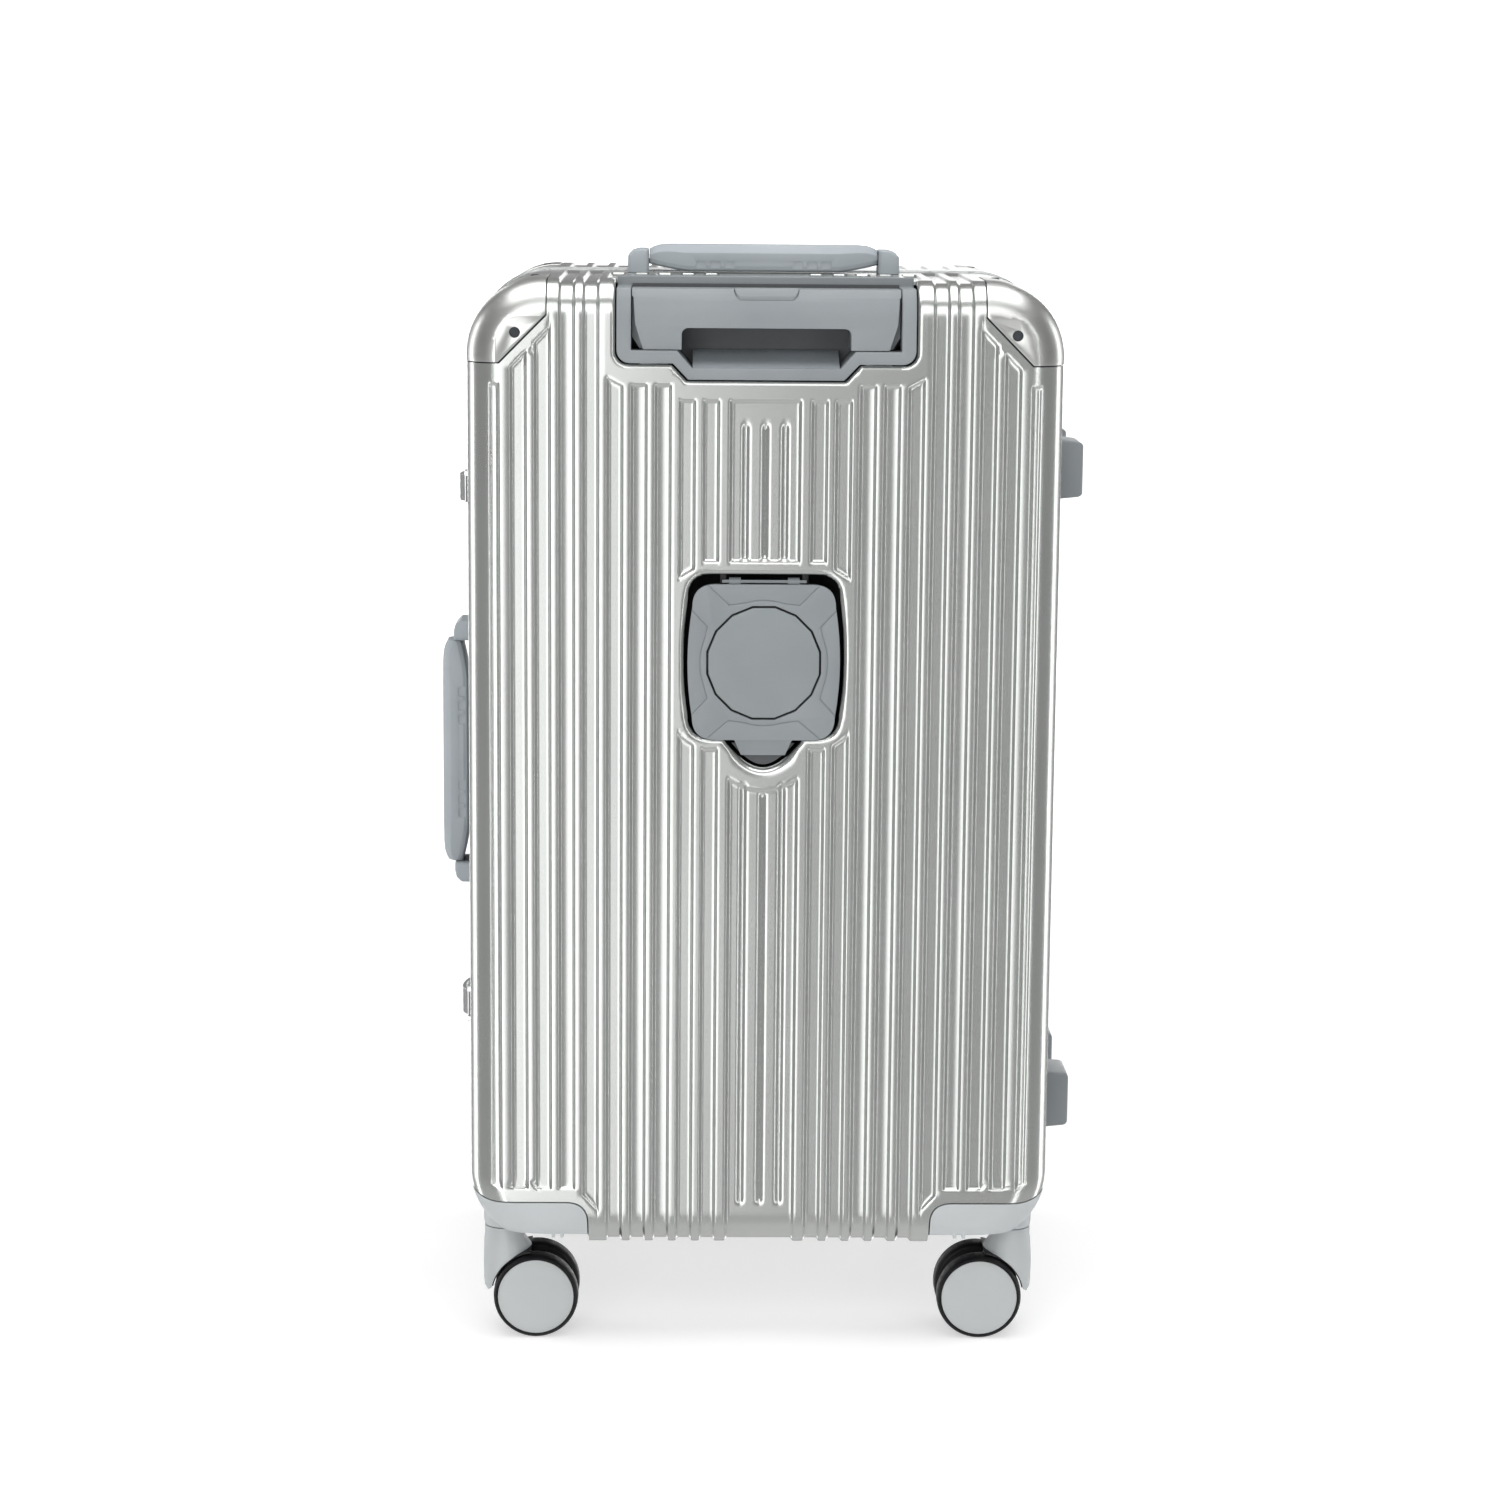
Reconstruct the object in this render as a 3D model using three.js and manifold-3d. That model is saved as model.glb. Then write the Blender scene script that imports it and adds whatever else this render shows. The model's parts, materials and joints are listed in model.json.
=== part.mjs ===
// A framed hard-shell suitcase on four twin casters. Millimetres, +Z up, floor at z = 0.
// The rear half, with the trolley and the cup holder, is on the -Y side and the front half on the +Y side.
// The handle and latches are on the -X side, and the lid hinge and side feet on the +X side.
import * as THREE from "three";
import { mergeVertices } from "three/addons/utils/BufferGeometryUtils.js";
import Module from "manifold-3d";

const wasm = await Module();
wasm.setup();

// ---------------------------------------------------------------- driving dimensions
const GAP = 0.3; // between pieces that touch
const RUNNING_GAP = 0.3; // between pieces that slide or turn on each other

const SKIN_PROUD = 0.4; // guards and housings over the shell

const CASE = { width: 405, height: 675, halfDepth: 170, cornerR: 52, edgeR: 25, wall: 2.5 };
const FRAME = { width: 14, proud: 1.5, lip: 8, slot: 8 };
const GUARD = { thick: 2.2, reach: 54.2, upright: 23.6, foot: 56, diagonalIn: 22.1, depth: 75 };
const HOUSING = { skin: 3, reach: 82.3, height: 33.7, cornerR: 15, depth: 74, floorUp: 10, floor: 4 };
const CASTER = { inX: 22.5, inY: 40, trail: 23, wheelR: 30, wheelWidth: 16.5, wheelGap: 14.5, over: 10 };
const SWIVEL = { stemR: 6, bossR: 14, bossDrop: 3, bossTall: 19, boreDeep: 15, axleR: 3, clear: 0.4 };
// The trolley tubes pass the cup tray, and the pocket, bezel and lining go round the tubes.
const CUP = { below: 259, half: 56.5, endHalf: 53.5, up: 62.6, down: 54.4, cornerR: 17 };
const CUP_BODY = { depth: 48, wall: 2, flange: 5 };
const TUBE = { atX: CUP.half + 19.5, inY: 20, width: 20, depth: 15, wall: 1.2, cornerR: 2 };
const TUBE_FOOT = { up: 9, tall: 16.7 };
const POCKET = { half: TUBE.atX + 15, up: 47.3, stepHalf: 50, stepUp: 58.7, stepRun: 10 };
const BEZEL = { half: POCKET.half + 9.8, up: 56, stepHalf: 52.5, stepUp: 66.8, stepRun: 10.3 };
const BEZEL_BODY = { proud: 0.8, depth: 44, back: 4 };
const LINING = { thick: 1.2, bumpHalf: BEZEL.half + 5.2, bumpDepth: 53.2 };
const GRIP = { fingerHalf: 57, fingerUp: 32.2, thick: 36, side: 0.6, socket: 18 };
const BUTTON = { half: 21.6, from: 8, to: 21, depth: 12, travel: 3 };
const NOTCH = { topHalf: 29, floorHalf: 14, drop: 20 };
// The flap is measured by its gaps to the edge of the cup's mouth, and the disc by the rim left round it.
const FLAP = { side: 4.5, topGap: 8.8, lowGap: 1.1, cornerR: 16, thick: 4.8, inset: 0.6 };
const FLAP_TAB = { topHalf: 19.8, endHalf: 15, drop: 10.5 };
const FLAP_PIN = { topGap: 7.6, inY: 6, r: 1.6, half: 30, knuckleR: 3.2 };
const DISC = { rim: 17.3, ringGap: 1.2, sides: 16, travel: 34 };
const DISC_GUIDE = { postOut: 4.8, postR: 2, barOut: 8.8, barTall: 11 };
const HANDLE = { inner: 80.7, outer: 95.5, height: 16.6, width: 36, inY: 34, belowMid: 4.8, play: 5 };
const HANDLE_GRIP = {
  half: 80.2,
  flatHalf: 53,
  topHalf: 73,
  width: 34,
  low: 1,
  endLow: 6,
  top: 19.7,
  shoulder: 16.4,
};
const LATCH = { below: 155, above: 141.5, tall: 26, pivotY: 24, pivotOut: 6.5, reach: 20 };
const LATCH_LEVER = { rise: 14.3, thick: 2.2, knuckleR: 3.4 };
const HINGE = { out: 5.9, ends: 180, knuckles: 5, r: 3.8, pinR: 1.5, leaf: 1.5 };
const FOOT = { below: 134, above: 84.5, tall: 42.5, taper: 3, out: 22.5, from: 38, to: 78 };
const STRAP = { width: 25, thick: 1.5, above: 60, below: 85, half: 75, buckle: 46 };
const ZIP_POCKET = { width: 330, above: 50, below: 325, thick: 3, cornerR: 20 };

// ---------------------------------------------------------------- derived places
const HALF_WIDTH = CASE.width / 2;
const BOTTOM = 2 * CASTER.wheelR + CASTER.over;
const TOP = BOTTOM + CASE.height;
const SHELL_EDGE = FRAME.width - FRAME.slot + GAP; // distance of a shell's rim from the split plane
const FRAME_BACK = FRAME.width + GAP;
const STEM = { x: HALF_WIDTH - CASTER.inX, y: CASE.halfDepth - CASTER.inY };
const TUBE_Y = -CASE.halfDepth + TUBE.inY;
const BEZEL_BACK = -CASE.halfDepth + BEZEL_BODY.depth;
const CUP_Z = TOP - CUP.below;
const FLAP_HALF = CUP.half - FLAP.side;
const DISC_R = CUP.half - DISC.rim - DISC.ringGap;
const RING_R = CUP.half - DISC.rim;
const POST_X = RING_R + DISC_GUIDE.postOut;
const FAR = 1000;

// Facets: arcs of the case outline, its rounded edges and the tyres.
const CORNER_FACETS = 4;
const EDGE_FACETS = 3;
const WHEEL_SIDES = 24;
const AXLE_UP = CASTER.wheelR * Math.cos(Math.PI / WHEEL_SIDES);

// ---------------------------------------------------------------- materials
function material(color, roughness, metalness) {
  return new THREE.MeshStandardMaterial({ color, roughness, metalness });
}
const SHELL = material(0xc4c6c1, 0.35, 0.6);
const METAL = material(0xd2d3d2, 0.3, 0.9);
const GREY_PLASTIC = material(0x9499a1, 0.5, 0);
const PALE_PLASTIC = material(0xb4b8bd, 0.5, 0);
const BLACK_PLASTIC = material(0x17181a, 0.6, 0);
const TYRE = material(0x111111, 0.8, 0);
const CLOTH = material(0x3a3d42, 0.9, 0);

// ---------------------------------------------------------------- solids
function solid(geometry) {
  const bare = new THREE.BufferGeometry();
  const source = geometry.index ? geometry.toNonIndexed() : geometry;
  bare.setAttribute("position", source.getAttribute("position"));
  const merged = mergeVertices(bare, 1e-3);
  const vertProperties = merged.attributes.position.array;
  const triVerts = new Uint32Array(merged.index.array);
  return new wasm.Manifold(new wasm.Mesh({ numProp: 3, vertProperties, triVerts }));
}

function geometryOf(made) {
  const mesh = made.getMesh();
  const geometry = new THREE.BufferGeometry();
  geometry.setAttribute("position", new THREE.BufferAttribute(new Float32Array(mesh.vertProperties), 3));
  geometry.setIndex(new THREE.BufferAttribute(new Uint32Array(mesh.triVerts), 1));
  geometry.computeVertexNormals();
  return geometry;
}

function union(...pieces) {
  return pieces.reduce((all, piece) => all.add(piece));
}

function cut(from, ...tools) {
  return tools.reduce((left, tool) => left.subtract(tool), from);
}

function block(x, y, z) {
  const box = new THREE.BoxGeometry(x[1] - x[0], y[1] - y[0], z[1] - z[0]);
  return solid(box.translate((x[0] + x[1]) / 2, (y[0] + y[1]) / 2, (z[0] + z[1]) / 2));
}

const AXES = {
  x: [new THREE.Vector3(0, 1, 0), new THREE.Vector3(0, 0, 1), new THREE.Vector3(1, 0, 0)],
  y: [new THREE.Vector3(1, 0, 0), new THREE.Vector3(0, 0, 1), new THREE.Vector3(0, -1, 0)],
  z: [new THREE.Vector3(1, 0, 0), new THREE.Vector3(0, 1, 0), new THREE.Vector3(0, 0, 1)],
};

// An outline drawn in the plane across the axis, (y, z), (x, z) or (x, y), pushed from one value to another.
function prism(shape, axis, from, to, curveSegments = CORNER_FACETS) {
  const settings = { depth: to - from, bevelEnabled: false, curveSegments };
  const geometry = new THREE.ExtrudeGeometry(shape, settings);
  const start = axis === "y" ? to : from;
  geometry.applyMatrix4(new THREE.Matrix4().makeBasis(...AXES[axis]));
  geometry.translate(axis === "x" ? start : 0, axis === "y" ? start : 0, axis === "z" ? start : 0);
  return solid(geometry);
}

function polygon(points) {
  return new THREE.Shape(points.map(([a, b]) => new THREE.Vector2(a, b)));
}

function circle(a, b, r) {
  return new THREE.Shape().absarc(a, b, r, 0, 2 * Math.PI);
}

function rod(axis, a, b, r, from, to, sides = 16) {
  return prism(circle(a, b, r), axis, from, to, sides / 2);
}

function roundedRect(low, high, r) {
  const shape = new THREE.Shape();
  shape.absarc(high[0] - r, low[1] + r, r, -Math.PI / 2, 0);
  shape.absarc(high[0] - r, high[1] - r, r, 0, Math.PI / 2);
  shape.absarc(low[0] + r, high[1] - r, r, Math.PI / 2, Math.PI);
  shape.absarc(low[0] + r, low[1] + r, r, Math.PI, 1.5 * Math.PI);
  return shape;
}

function mirrored(points) {
  return [...points, ...points.map(([a, b]) => [-a, b]).reverse()];
}

// ---------------------------------------------------------------- the case's own form
function caseOutline(inset) {
  const half = HALF_WIDTH - inset;
  return roundedRect([-half, BOTTOM + inset], [half, TOP - inset], CASE.cornerR - inset);
}

// The whole closed case, both halves, drawn in by an inset and with its face edges rounded.
function caseBody(inset) {
  const r = CASE.edgeR - inset;
  const straight = 2 * (CASE.halfDepth - inset - r);
  const geometry = new THREE.ExtrudeGeometry(caseOutline(inset), {
    depth: straight,
    bevelThickness: r,
    bevelSize: r,
    bevelOffset: -r,
    bevelSegments: EDGE_FACETS,
    curveSegments: CORNER_FACETS,
  });
  geometry.applyMatrix4(new THREE.Matrix4().makeBasis(...AXES.y));
  geometry.translate(0, straight / 2, 0);
  return solid(geometry);
}

// What lies in one half, between two distances from the split plane; side is -1 at the rear.
function slab(side, near, far) {
  return block([-FAR, FAR], side < 0 ? [-far, -near] : [near, far], [-FAR, FAR]);
}

// ---------------------------------------------------------------- regions that two pieces share
function guardRegion(side, hand, grow) {
  const inner = HALF_WIDTH - GUARD.reach - grow;
  const low = TOP - GUARD.foot - grow;
  const points = [
    [inner, FAR],
    [inner, TOP - GUARD.upright - grow],
    [HALF_WIDTH - GUARD.diagonalIn - grow, low],
    [FAR, low],
    [FAR, FAR],
  ];
  const outline = polygon(points.map(([x, z]) => [hand * x, z]));
  const depth = CASE.halfDepth - GUARD.depth - grow;
  return prism(outline, "y", -FAR, FAR).intersect(slab(side, depth, FAR));
}

function housingRegion(side, hand, grow) {
  const inner = HALF_WIDTH - HOUSING.reach - grow;
  const high = BOTTOM + HOUSING.height + grow;
  const r = HOUSING.cornerR + grow;
  const shape = new THREE.Shape();
  shape.moveTo(hand * inner, -FAR);
  shape.lineTo(hand * inner, high - r);
  shape.quadraticCurveTo(hand * inner, high, hand * (inner + r), high);
  shape.lineTo(hand * (HALF_WIDTH - 20), high);
  shape.quadraticCurveTo(hand * (HALF_WIDTH - 8), high, hand * (HALF_WIDTH + 4), high + 9);
  shape.lineTo(hand * FAR, high + 9);
  shape.lineTo(hand * FAR, -FAR);
  return prism(shape, "y", -FAR, FAR, 4).intersect(slab(side, CASE.halfDepth - HOUSING.depth - grow, FAR));
}

function steppedRegion(size, grow, from, to) {
  const points = mirrored([
    [size.half + grow, FAR],
    [size.half + grow, TOP - size.up - grow],
    [size.stepHalf + size.stepRun + grow, TOP - size.up - grow],
    [size.stepHalf + grow, TOP - size.stepUp - grow],
  ]);
  return prism(polygon(points), "y", from, to);
}

function cupOutline(grow) {
  const end = CUP.endHalf + grow;
  const bulge = 2 * (CUP.half + grow) - end;
  const high = CUP_Z + CUP.up + grow;
  const low = CUP_Z - CUP.down - grow;
  const r = CUP.cornerR;
  const floor = low - NOTCH.drop;
  const shape = new THREE.Shape();
  shape.moveTo(end - r, high);
  shape.lineTo(-end + r, high);
  shape.quadraticCurveTo(-end, high, -end, high - r);
  shape.quadraticCurveTo(-bulge, CUP_Z, -end, low + r);
  shape.quadraticCurveTo(-end, low, -end + r, low);
  shape.lineTo(-NOTCH.topHalf - grow, low);
  shape.quadraticCurveTo(-NOTCH.floorHalf - grow, floor, 0, floor);
  shape.quadraticCurveTo(NOTCH.floorHalf + grow, floor, NOTCH.topHalf + grow, low);
  shape.lineTo(end - r, low);
  shape.quadraticCurveTo(end, low, end, low + r);
  shape.quadraticCurveTo(bulge, CUP_Z, end, high - r);
  shape.quadraticCurveTo(end, high, end - r, high);
  return shape;
}

// ---------------------------------------------------------------- the assembly
const suitcase = new THREE.Group();
suitcase.name = "suitcase";

function add(name, made, look, parent = suitcase) {
  const mesh = new THREE.Mesh(geometryOf(made), look);
  mesh.name = name;
  parent.add(mesh);
  return mesh;
}

const HALVES = [
  { name: "rear", side: -1 },
  { name: "front", side: 1 },
];
const HANDS = [
  { name: "left", hand: -1 },
  { name: "right", hand: 1 },
];

const outer = caseBody(0);
const inner = caseBody(CASE.wall);
const liningOuter = caseBody(CASE.wall + GAP);
const liningInner = caseBody(CASE.wall + GAP + LINING.thick);

// Each half: its shell, frame, corner guards and caster housings.
function shell(side) {
  let made = cut(outer, inner).intersect(slab(side, SHELL_EDGE, FAR));
  for (const { hand } of HANDS) {
    made = cut(made, guardRegion(side, hand, GAP), housingRegion(side, hand, GAP));
  }
  if (side > 0) return made;
  const cupCut = prism(cupOutline(0), "y", -FAR, -CASE.halfDepth + CASE.edgeR);
  return cut(made, steppedRegion(BEZEL, GAP, -FAR, BEZEL_BACK + GAP), cupCut);
}

function frameRing(side) {
  const ring = caseOutline(-FRAME.proud);
  ring.holes.push(caseOutline(FRAME.lip));
  const slot = caseOutline(-GAP);
  slot.holes.push(caseOutline(CASE.wall + GAP));
  const bar = prism(ring, "y", -FRAME.width, FRAME.width).intersect(slab(side, GAP / 2, FAR));
  return cut(bar, prism(slot, "y", -FAR, FAR).intersect(slab(side, FRAME.width - FRAME.slot, FAR)));
}

function cornerGuard(side, hand) {
  const skin = cut(caseBody(-SKIN_PROUD), caseBody(GUARD.thick - SKIN_PROUD));
  return skin.intersect(guardRegion(side, hand, 0));
}

function casterHousing(side, hand) {
  const floor = BOTTOM + HOUSING.floorUp;
  const x = hand * STEM.x;
  const y = side * STEM.y;
  const above = (z) => block([-FAR, FAR], [-FAR, FAR], [z, FAR]);
  const corner = caseBody(-SKIN_PROUD).intersect(housingRegion(side, hand, 0)).intersect(above(floor));
  const hollow = caseBody(HOUSING.skin).intersect(above(floor + HOUSING.floor));
  const low = floor - SWIVEL.bossDrop;
  const boss = rod("z", x, y, SWIVEL.bossR, low, low + SWIVEL.bossTall, 24);
  const bore = rod("z", x, y, SWIVEL.stemR + RUNNING_GAP, low - 1, low + SWIVEL.boreDeep);
  return cut(union(cut(corner, hollow), boss), bore);
}

for (const { name, side } of HALVES) {
  add(`${name}_shell`, shell(side), SHELL);
  add(`${name}_frame`, frameRing(side), METAL);
  for (const { name: handName, hand } of HANDS) {
    add(`corner_guard_${name}_${handName}`, cornerGuard(side, hand), METAL);
    add(`caster_housing_${name}_${handName}`, casterHousing(side, hand), PALE_PLASTIC);
  }
}

// The linings stand clear of the guards and housings, and the rear one bulges over the trolley and cup tray.
function lining(side) {
  const blocks = [];
  const bays = [];
  for (const { hand } of HANDS) {
    blocks.push(housingRegion(side, hand, GAP + LINING.thick));
    bays.push(housingRegion(side, hand, GAP));
  }
  if (side < 0) {
    const floor = -CASE.halfDepth + LINING.bumpDepth;
    const half = LINING.bumpHalf;
    blocks.push(block([-half, half], [-FAR, floor], [-FAR, FAR]));
    const inside = half - LINING.thick;
    bays.push(block([-inside, inside], [-FAR, floor - LINING.thick], [-FAR, FAR]));
  }
  const cavity = cut(liningInner, ...blocks);
  return cut(liningOuter, cavity, ...bays).intersect(slab(side, FRAME_BACK, FAR));
}
add("rear_lining", lining(-1), CLOTH);
add("front_lining", lining(1), CLOTH);

// Packing straps lie crossed on the rear lining, joined at the buckle.
function packingStraps() {
  const y = -CASE.halfDepth + LINING.bumpDepth + GAP;
  const low = BOTTOM + STRAP.above;
  const high = TOP - STRAP.below;
  const mid = (low + high) / 2;
  const run = new THREE.Vector2(2 * STRAP.half, high - low);
  const band = (hand) => {
    const box = new THREE.BoxGeometry(STRAP.width, STRAP.thick, run.length());
    box.rotateY(hand * Math.atan2(run.x, run.y));
    return solid(box.translate(0, y + STRAP.thick / 2, mid));
  };
  const b = STRAP.buckle / 2;
  const buckle = block([-b, b], [y, y + 4 * STRAP.thick], [mid - b, mid + b]);
  return union(band(1), band(-1), buckle);
}
add("packing_straps", packingStraps(), BLACK_PLASTIC);

const pocketFace = CASE.halfDepth - CASE.wall - 2 * GAP - LINING.thick;
const pocketLow = [-ZIP_POCKET.width / 2, BOTTOM + ZIP_POCKET.above];
const pocketHigh = [ZIP_POCKET.width / 2, TOP - ZIP_POCKET.below];
const pocketOutline = roundedRect(pocketLow, pocketHigh, ZIP_POCKET.cornerR);
add("zip_pocket", prism(pocketOutline, "y", pocketFace - ZIP_POCKET.thick, pocketFace), CLOTH);

// ---------------------------------------------------------------- trolley
function tubeOutline(hand, shrink) {
  const w = TUBE.width / 2 - shrink;
  const d = TUBE.depth / 2 - shrink;
  const r = Math.max(TUBE.cornerR - shrink / 2, 0.5);
  return roundedRect([hand * TUBE.atX - w, TUBE_Y - d], [hand * TUBE.atX + w, TUBE_Y + d], r);
}

const STAGE_STEP = TUBE.wall + RUNNING_GAP;

function tube(hand, stage, low, high) {
  const outline = tubeOutline(hand, stage * STAGE_STEP);
  outline.holes.push(tubeOutline(hand, stage * STAGE_STEP + TUBE.wall));
  return prism(outline, "z", low, high, 2);
}

const bezelFloor = TOP - BEZEL.up;
const pocketFloor = TOP - POCKET.up;
const gripFoot = pocketFloor + 2 * GAP;
const tubeBase = BOTTOM + TUBE_FOOT.up + TUBE_FOOT.tall;
for (const { name, hand } of HANDS) {
  add(`trolley_outer_tube_${name}`, tube(hand, 0, tubeBase + GAP, bezelFloor - GAP), METAL);
  add(`trolley_mid_tube_${name}`, tube(hand, 1, tubeBase + 5, pocketFloor - GAP), METAL);
  add(`trolley_inner_tube_${name}`, tube(hand, 2, tubeBase + 10, gripFoot + GRIP.socket - GAP), METAL);
}

const bracketHalf = TUBE.atX + TUBE.width;
const bracketY = [TUBE_Y - TUBE.depth / 2 - 2, TUBE_Y + TUBE.depth / 2 + 6];
add(
  "trolley_foot_bracket",
  block([-bracketHalf, bracketHalf], bracketY, [BOTTOM + TUBE_FOOT.up, tubeBase]),
  BLACK_PLASTIC,
);

function trolleyBezel() {
  const body = caseBody(-BEZEL_BODY.proud).intersect(steppedRegion(BEZEL, 0, -FAR, BEZEL_BACK));
  let made = cut(body, steppedRegion(POCKET, 0, -FAR, BEZEL_BACK - BEZEL_BODY.back));
  for (const { hand } of HANDS) {
    made = cut(made, prism(tubeOutline(hand, STAGE_STEP - RUNNING_GAP), "z", BOTTOM, TOP, 2));
  }
  return made;
}
add("trolley_bezel", trolleyBezel(), GREY_PLASTIC);

function buttonOutline(grow) {
  const low = [-BUTTON.half - grow, -CASE.halfDepth + BUTTON.from - grow];
  const high = [BUTTON.half + grow, -CASE.halfDepth + BUTTON.to + grow];
  return roundedRect(low, high, (high[1] - low[1]) / 2 - 0.1);
}

function trolleyGrip() {
  const half = POCKET.half - GRIP.side;
  const outline = mirrored([
    [half, FAR],
    [half, gripFoot + 8],
    [half - 5, gripFoot],
    [GRIP.fingerHalf, gripFoot],
    [GRIP.fingerHalf, TOP - GRIP.fingerUp - 3],
    [GRIP.fingerHalf - 3, TOP - GRIP.fingerUp],
  ]);
  const front = -CASE.halfDepth + GRIP.thick;
  let made = caseBody(GAP).intersect(prism(polygon(outline), "y", -FAR, front));
  for (const { hand } of HANDS) {
    const socket = tubeOutline(hand, 2 * STAGE_STEP - GAP);
    made = cut(made, prism(socket, "z", BOTTOM, gripFoot + GRIP.socket, 2));
  }
  const well = prism(buttonOutline(RUNNING_GAP), "z", TOP - BUTTON.depth - 2 * BUTTON.travel, FAR, 4);
  return cut(made, well);
}
add("trolley_grip", trolleyGrip(), GREY_PLASTIC);

const buttonStem = prism(buttonOutline(0), "z", TOP - BUTTON.depth, FAR, 4);
add("trolley_button", caseBody(-2 * GAP).intersect(buttonStem), GREY_PLASTIC);

// ---------------------------------------------------------------- cup holder
const cupBack = -CASE.halfDepth + CUP_BODY.depth;
const pinY = -CASE.halfDepth + FLAP_PIN.inY;
const pinZ = CUP_Z + CUP.up - FLAP_PIN.topGap;

const flapFace = -CASE.halfDepth + FLAP.inset;
const flapBack = flapFace + FLAP.thick;

function cupTray() {
  const body = prism(cupOutline(CUP_BODY.wall / 2), "y", flapBack + GAP, cupBack);
  const hollow = prism(cupOutline(-CUP_BODY.wall / 2), "y", -FAR, cupBack - CUP_BODY.wall);
  const behindShell = -CASE.halfDepth + CASE.wall + GAP;
  const flange = prism(cupOutline(CUP_BODY.flange), "y", behindShell, flapBack + CUP_BODY.wall);
  const mouth = prism(cupOutline(0), "y", -FAR, flapBack + GAP);
  const pin = rod("x", pinY, pinZ, FLAP_PIN.r, -FLAP_PIN.half + 1, FLAP_PIN.half - 1, 12);
  const high = CUP_Z + CUP.up - GAP;
  const ears = HANDS.map(({ hand }) => block(earSpan(hand, 0), [pinY - 3, flapBack + 2], [pinZ - 3, high]));
  return union(cut(union(body, flange), hollow, mouth), pin, ...ears);
}
add("cup_tray", cupTray(), BLACK_PLASTIC);

function earSpan(hand, grow) {
  const span = [FLAP_PIN.half - 4 - grow, FLAP_PIN.half + grow];
  return hand > 0 ? span : [-span[1], -span[0]];
}

function flapOutline() {
  const end = FLAP_HALF - (CUP.half - CUP.endHalf);
  const bulge = 2 * FLAP_HALF - end;
  const high = CUP_Z + CUP.up - FLAP.topGap;
  const low = CUP_Z - CUP.down + FLAP.lowGap;
  const r = FLAP.cornerR;
  const shape = new THREE.Shape();
  shape.moveTo(end - r, high);
  shape.lineTo(-end + r, high);
  shape.quadraticCurveTo(-end, high, -end, high - r);
  shape.quadraticCurveTo(-bulge, CUP_Z, -end, low + r);
  shape.quadraticCurveTo(-end, low, -end + r, low);
  shape.lineTo(-FLAP_TAB.topHalf, low);
  shape.lineTo(-FLAP_TAB.endHalf, low - FLAP_TAB.drop);
  shape.lineTo(FLAP_TAB.endHalf, low - FLAP_TAB.drop);
  shape.lineTo(FLAP_TAB.topHalf, low);
  shape.lineTo(end - r, low);
  shape.quadraticCurveTo(end, low, end, low + r);
  shape.quadraticCurveTo(bulge, CUP_Z, end, high - r);
  shape.quadraticCurveTo(end, high, end - r, high);
  return shape;
}

const postEnd = flapBack + DISC.travel + 5;

function cupFlap() {
  const ring = rod("y", 0, CUP_Z, RING_R, flapFace - 1, flapBack + 1, 40);
  let made = cut(prism(flapOutline(), "y", flapFace, flapBack), ring);
  for (const { hand } of HANDS) {
    const knuckle = rod("x", pinY, pinZ, FLAP_PIN.knuckleR, hand * 14 - 4, hand * 14 + 4);
    const post = rod("y", hand * POST_X, CUP_Z, DISC_GUIDE.postR, flapBack - 1, postEnd, 12);
    made = union(made, knuckle, post);
  }
  const notches = HANDS.map(({ hand }) => block(earSpan(hand, 2 * GAP), [-FAR, FAR], [pinZ - 5, FAR]));
  const bore = rod("x", pinY, pinZ, FLAP_PIN.r + RUNNING_GAP, -FLAP_PIN.half, FLAP_PIN.half, 12);
  return cut(made, bore, ...notches);
}
add("cup_flap", cupFlap(), GREY_PLASTIC);

function cupDisc() {
  const plate = rod("y", 0, CUP_Z, DISC_R, flapFace, flapBack + GAP + 1, DISC.sides);
  const tall = DISC_GUIDE.barTall / 2;
  const barHalf = RING_R + DISC_GUIDE.barOut;
  const barBack = [flapBack + GAP, flapBack + GAP + 4];
  const bar = block([-barHalf, barHalf], barBack, [CUP_Z - tall, CUP_Z + tall]);
  const holes = HANDS.map(({ hand }) =>
    rod("y", hand * POST_X, CUP_Z, DISC_GUIDE.postR + RUNNING_GAP, flapFace, postEnd, 12),
  );
  return cut(union(plate, bar), ...holes);
}
add("cup_disc", cupDisc(), GREY_PLASTIC);

// ---------------------------------------------------------------- carry handles
// Drawn with x along the handle, z out from the case and y across it.
function handlePost(hand) {
  const across = HANDLE.width / 2;
  const chamfer = 5;
  const outline = polygon(
    [
      [HANDLE.inner, GAP],
      [HANDLE.inner, HANDLE.height],
      [HANDLE.outer - chamfer, HANDLE.height],
      [HANDLE.outer, HANDLE.height - chamfer],
      [HANDLE.outer, GAP],
    ].map(([x, z]) => [hand * x, z]),
  );
  const slotX = [HANDLE.inner - 1, HANDLE.outer - 4].map((x) => hand * x).sort((a, b) => a - b);
  const slotLow = HANDLE_GRIP.endLow - RUNNING_GAP;
  const slotHigh = HANDLE_GRIP.endLow + 3.5 + HANDLE.play + RUNNING_GAP;
  const slot = block(slotX, [-10, 10], [slotLow, slotHigh]);
  return cut(prism(outline, "y", -across, across), slot);
}

function handleGrip() {
  const h = HANDLE_GRIP;
  const outline = mirrored([
    [h.topHalf, h.top],
    [h.half, h.shoulder],
    [h.half, h.endLow],
    [h.flatHalf + 8, h.low + 1.6],
    [h.flatHalf, h.low],
  ]);
  const body = prism(polygon(outline), "y", -h.width / 2, h.width / 2);
  const end = HANDLE.outer - 4 - RUNNING_GAP;
  const tongues = block([-end, end], [-10 + RUNNING_GAP, 10 - RUNNING_GAP], [h.endLow, h.endLow + 3.5]);
  return union(body, tongues);
}

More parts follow.
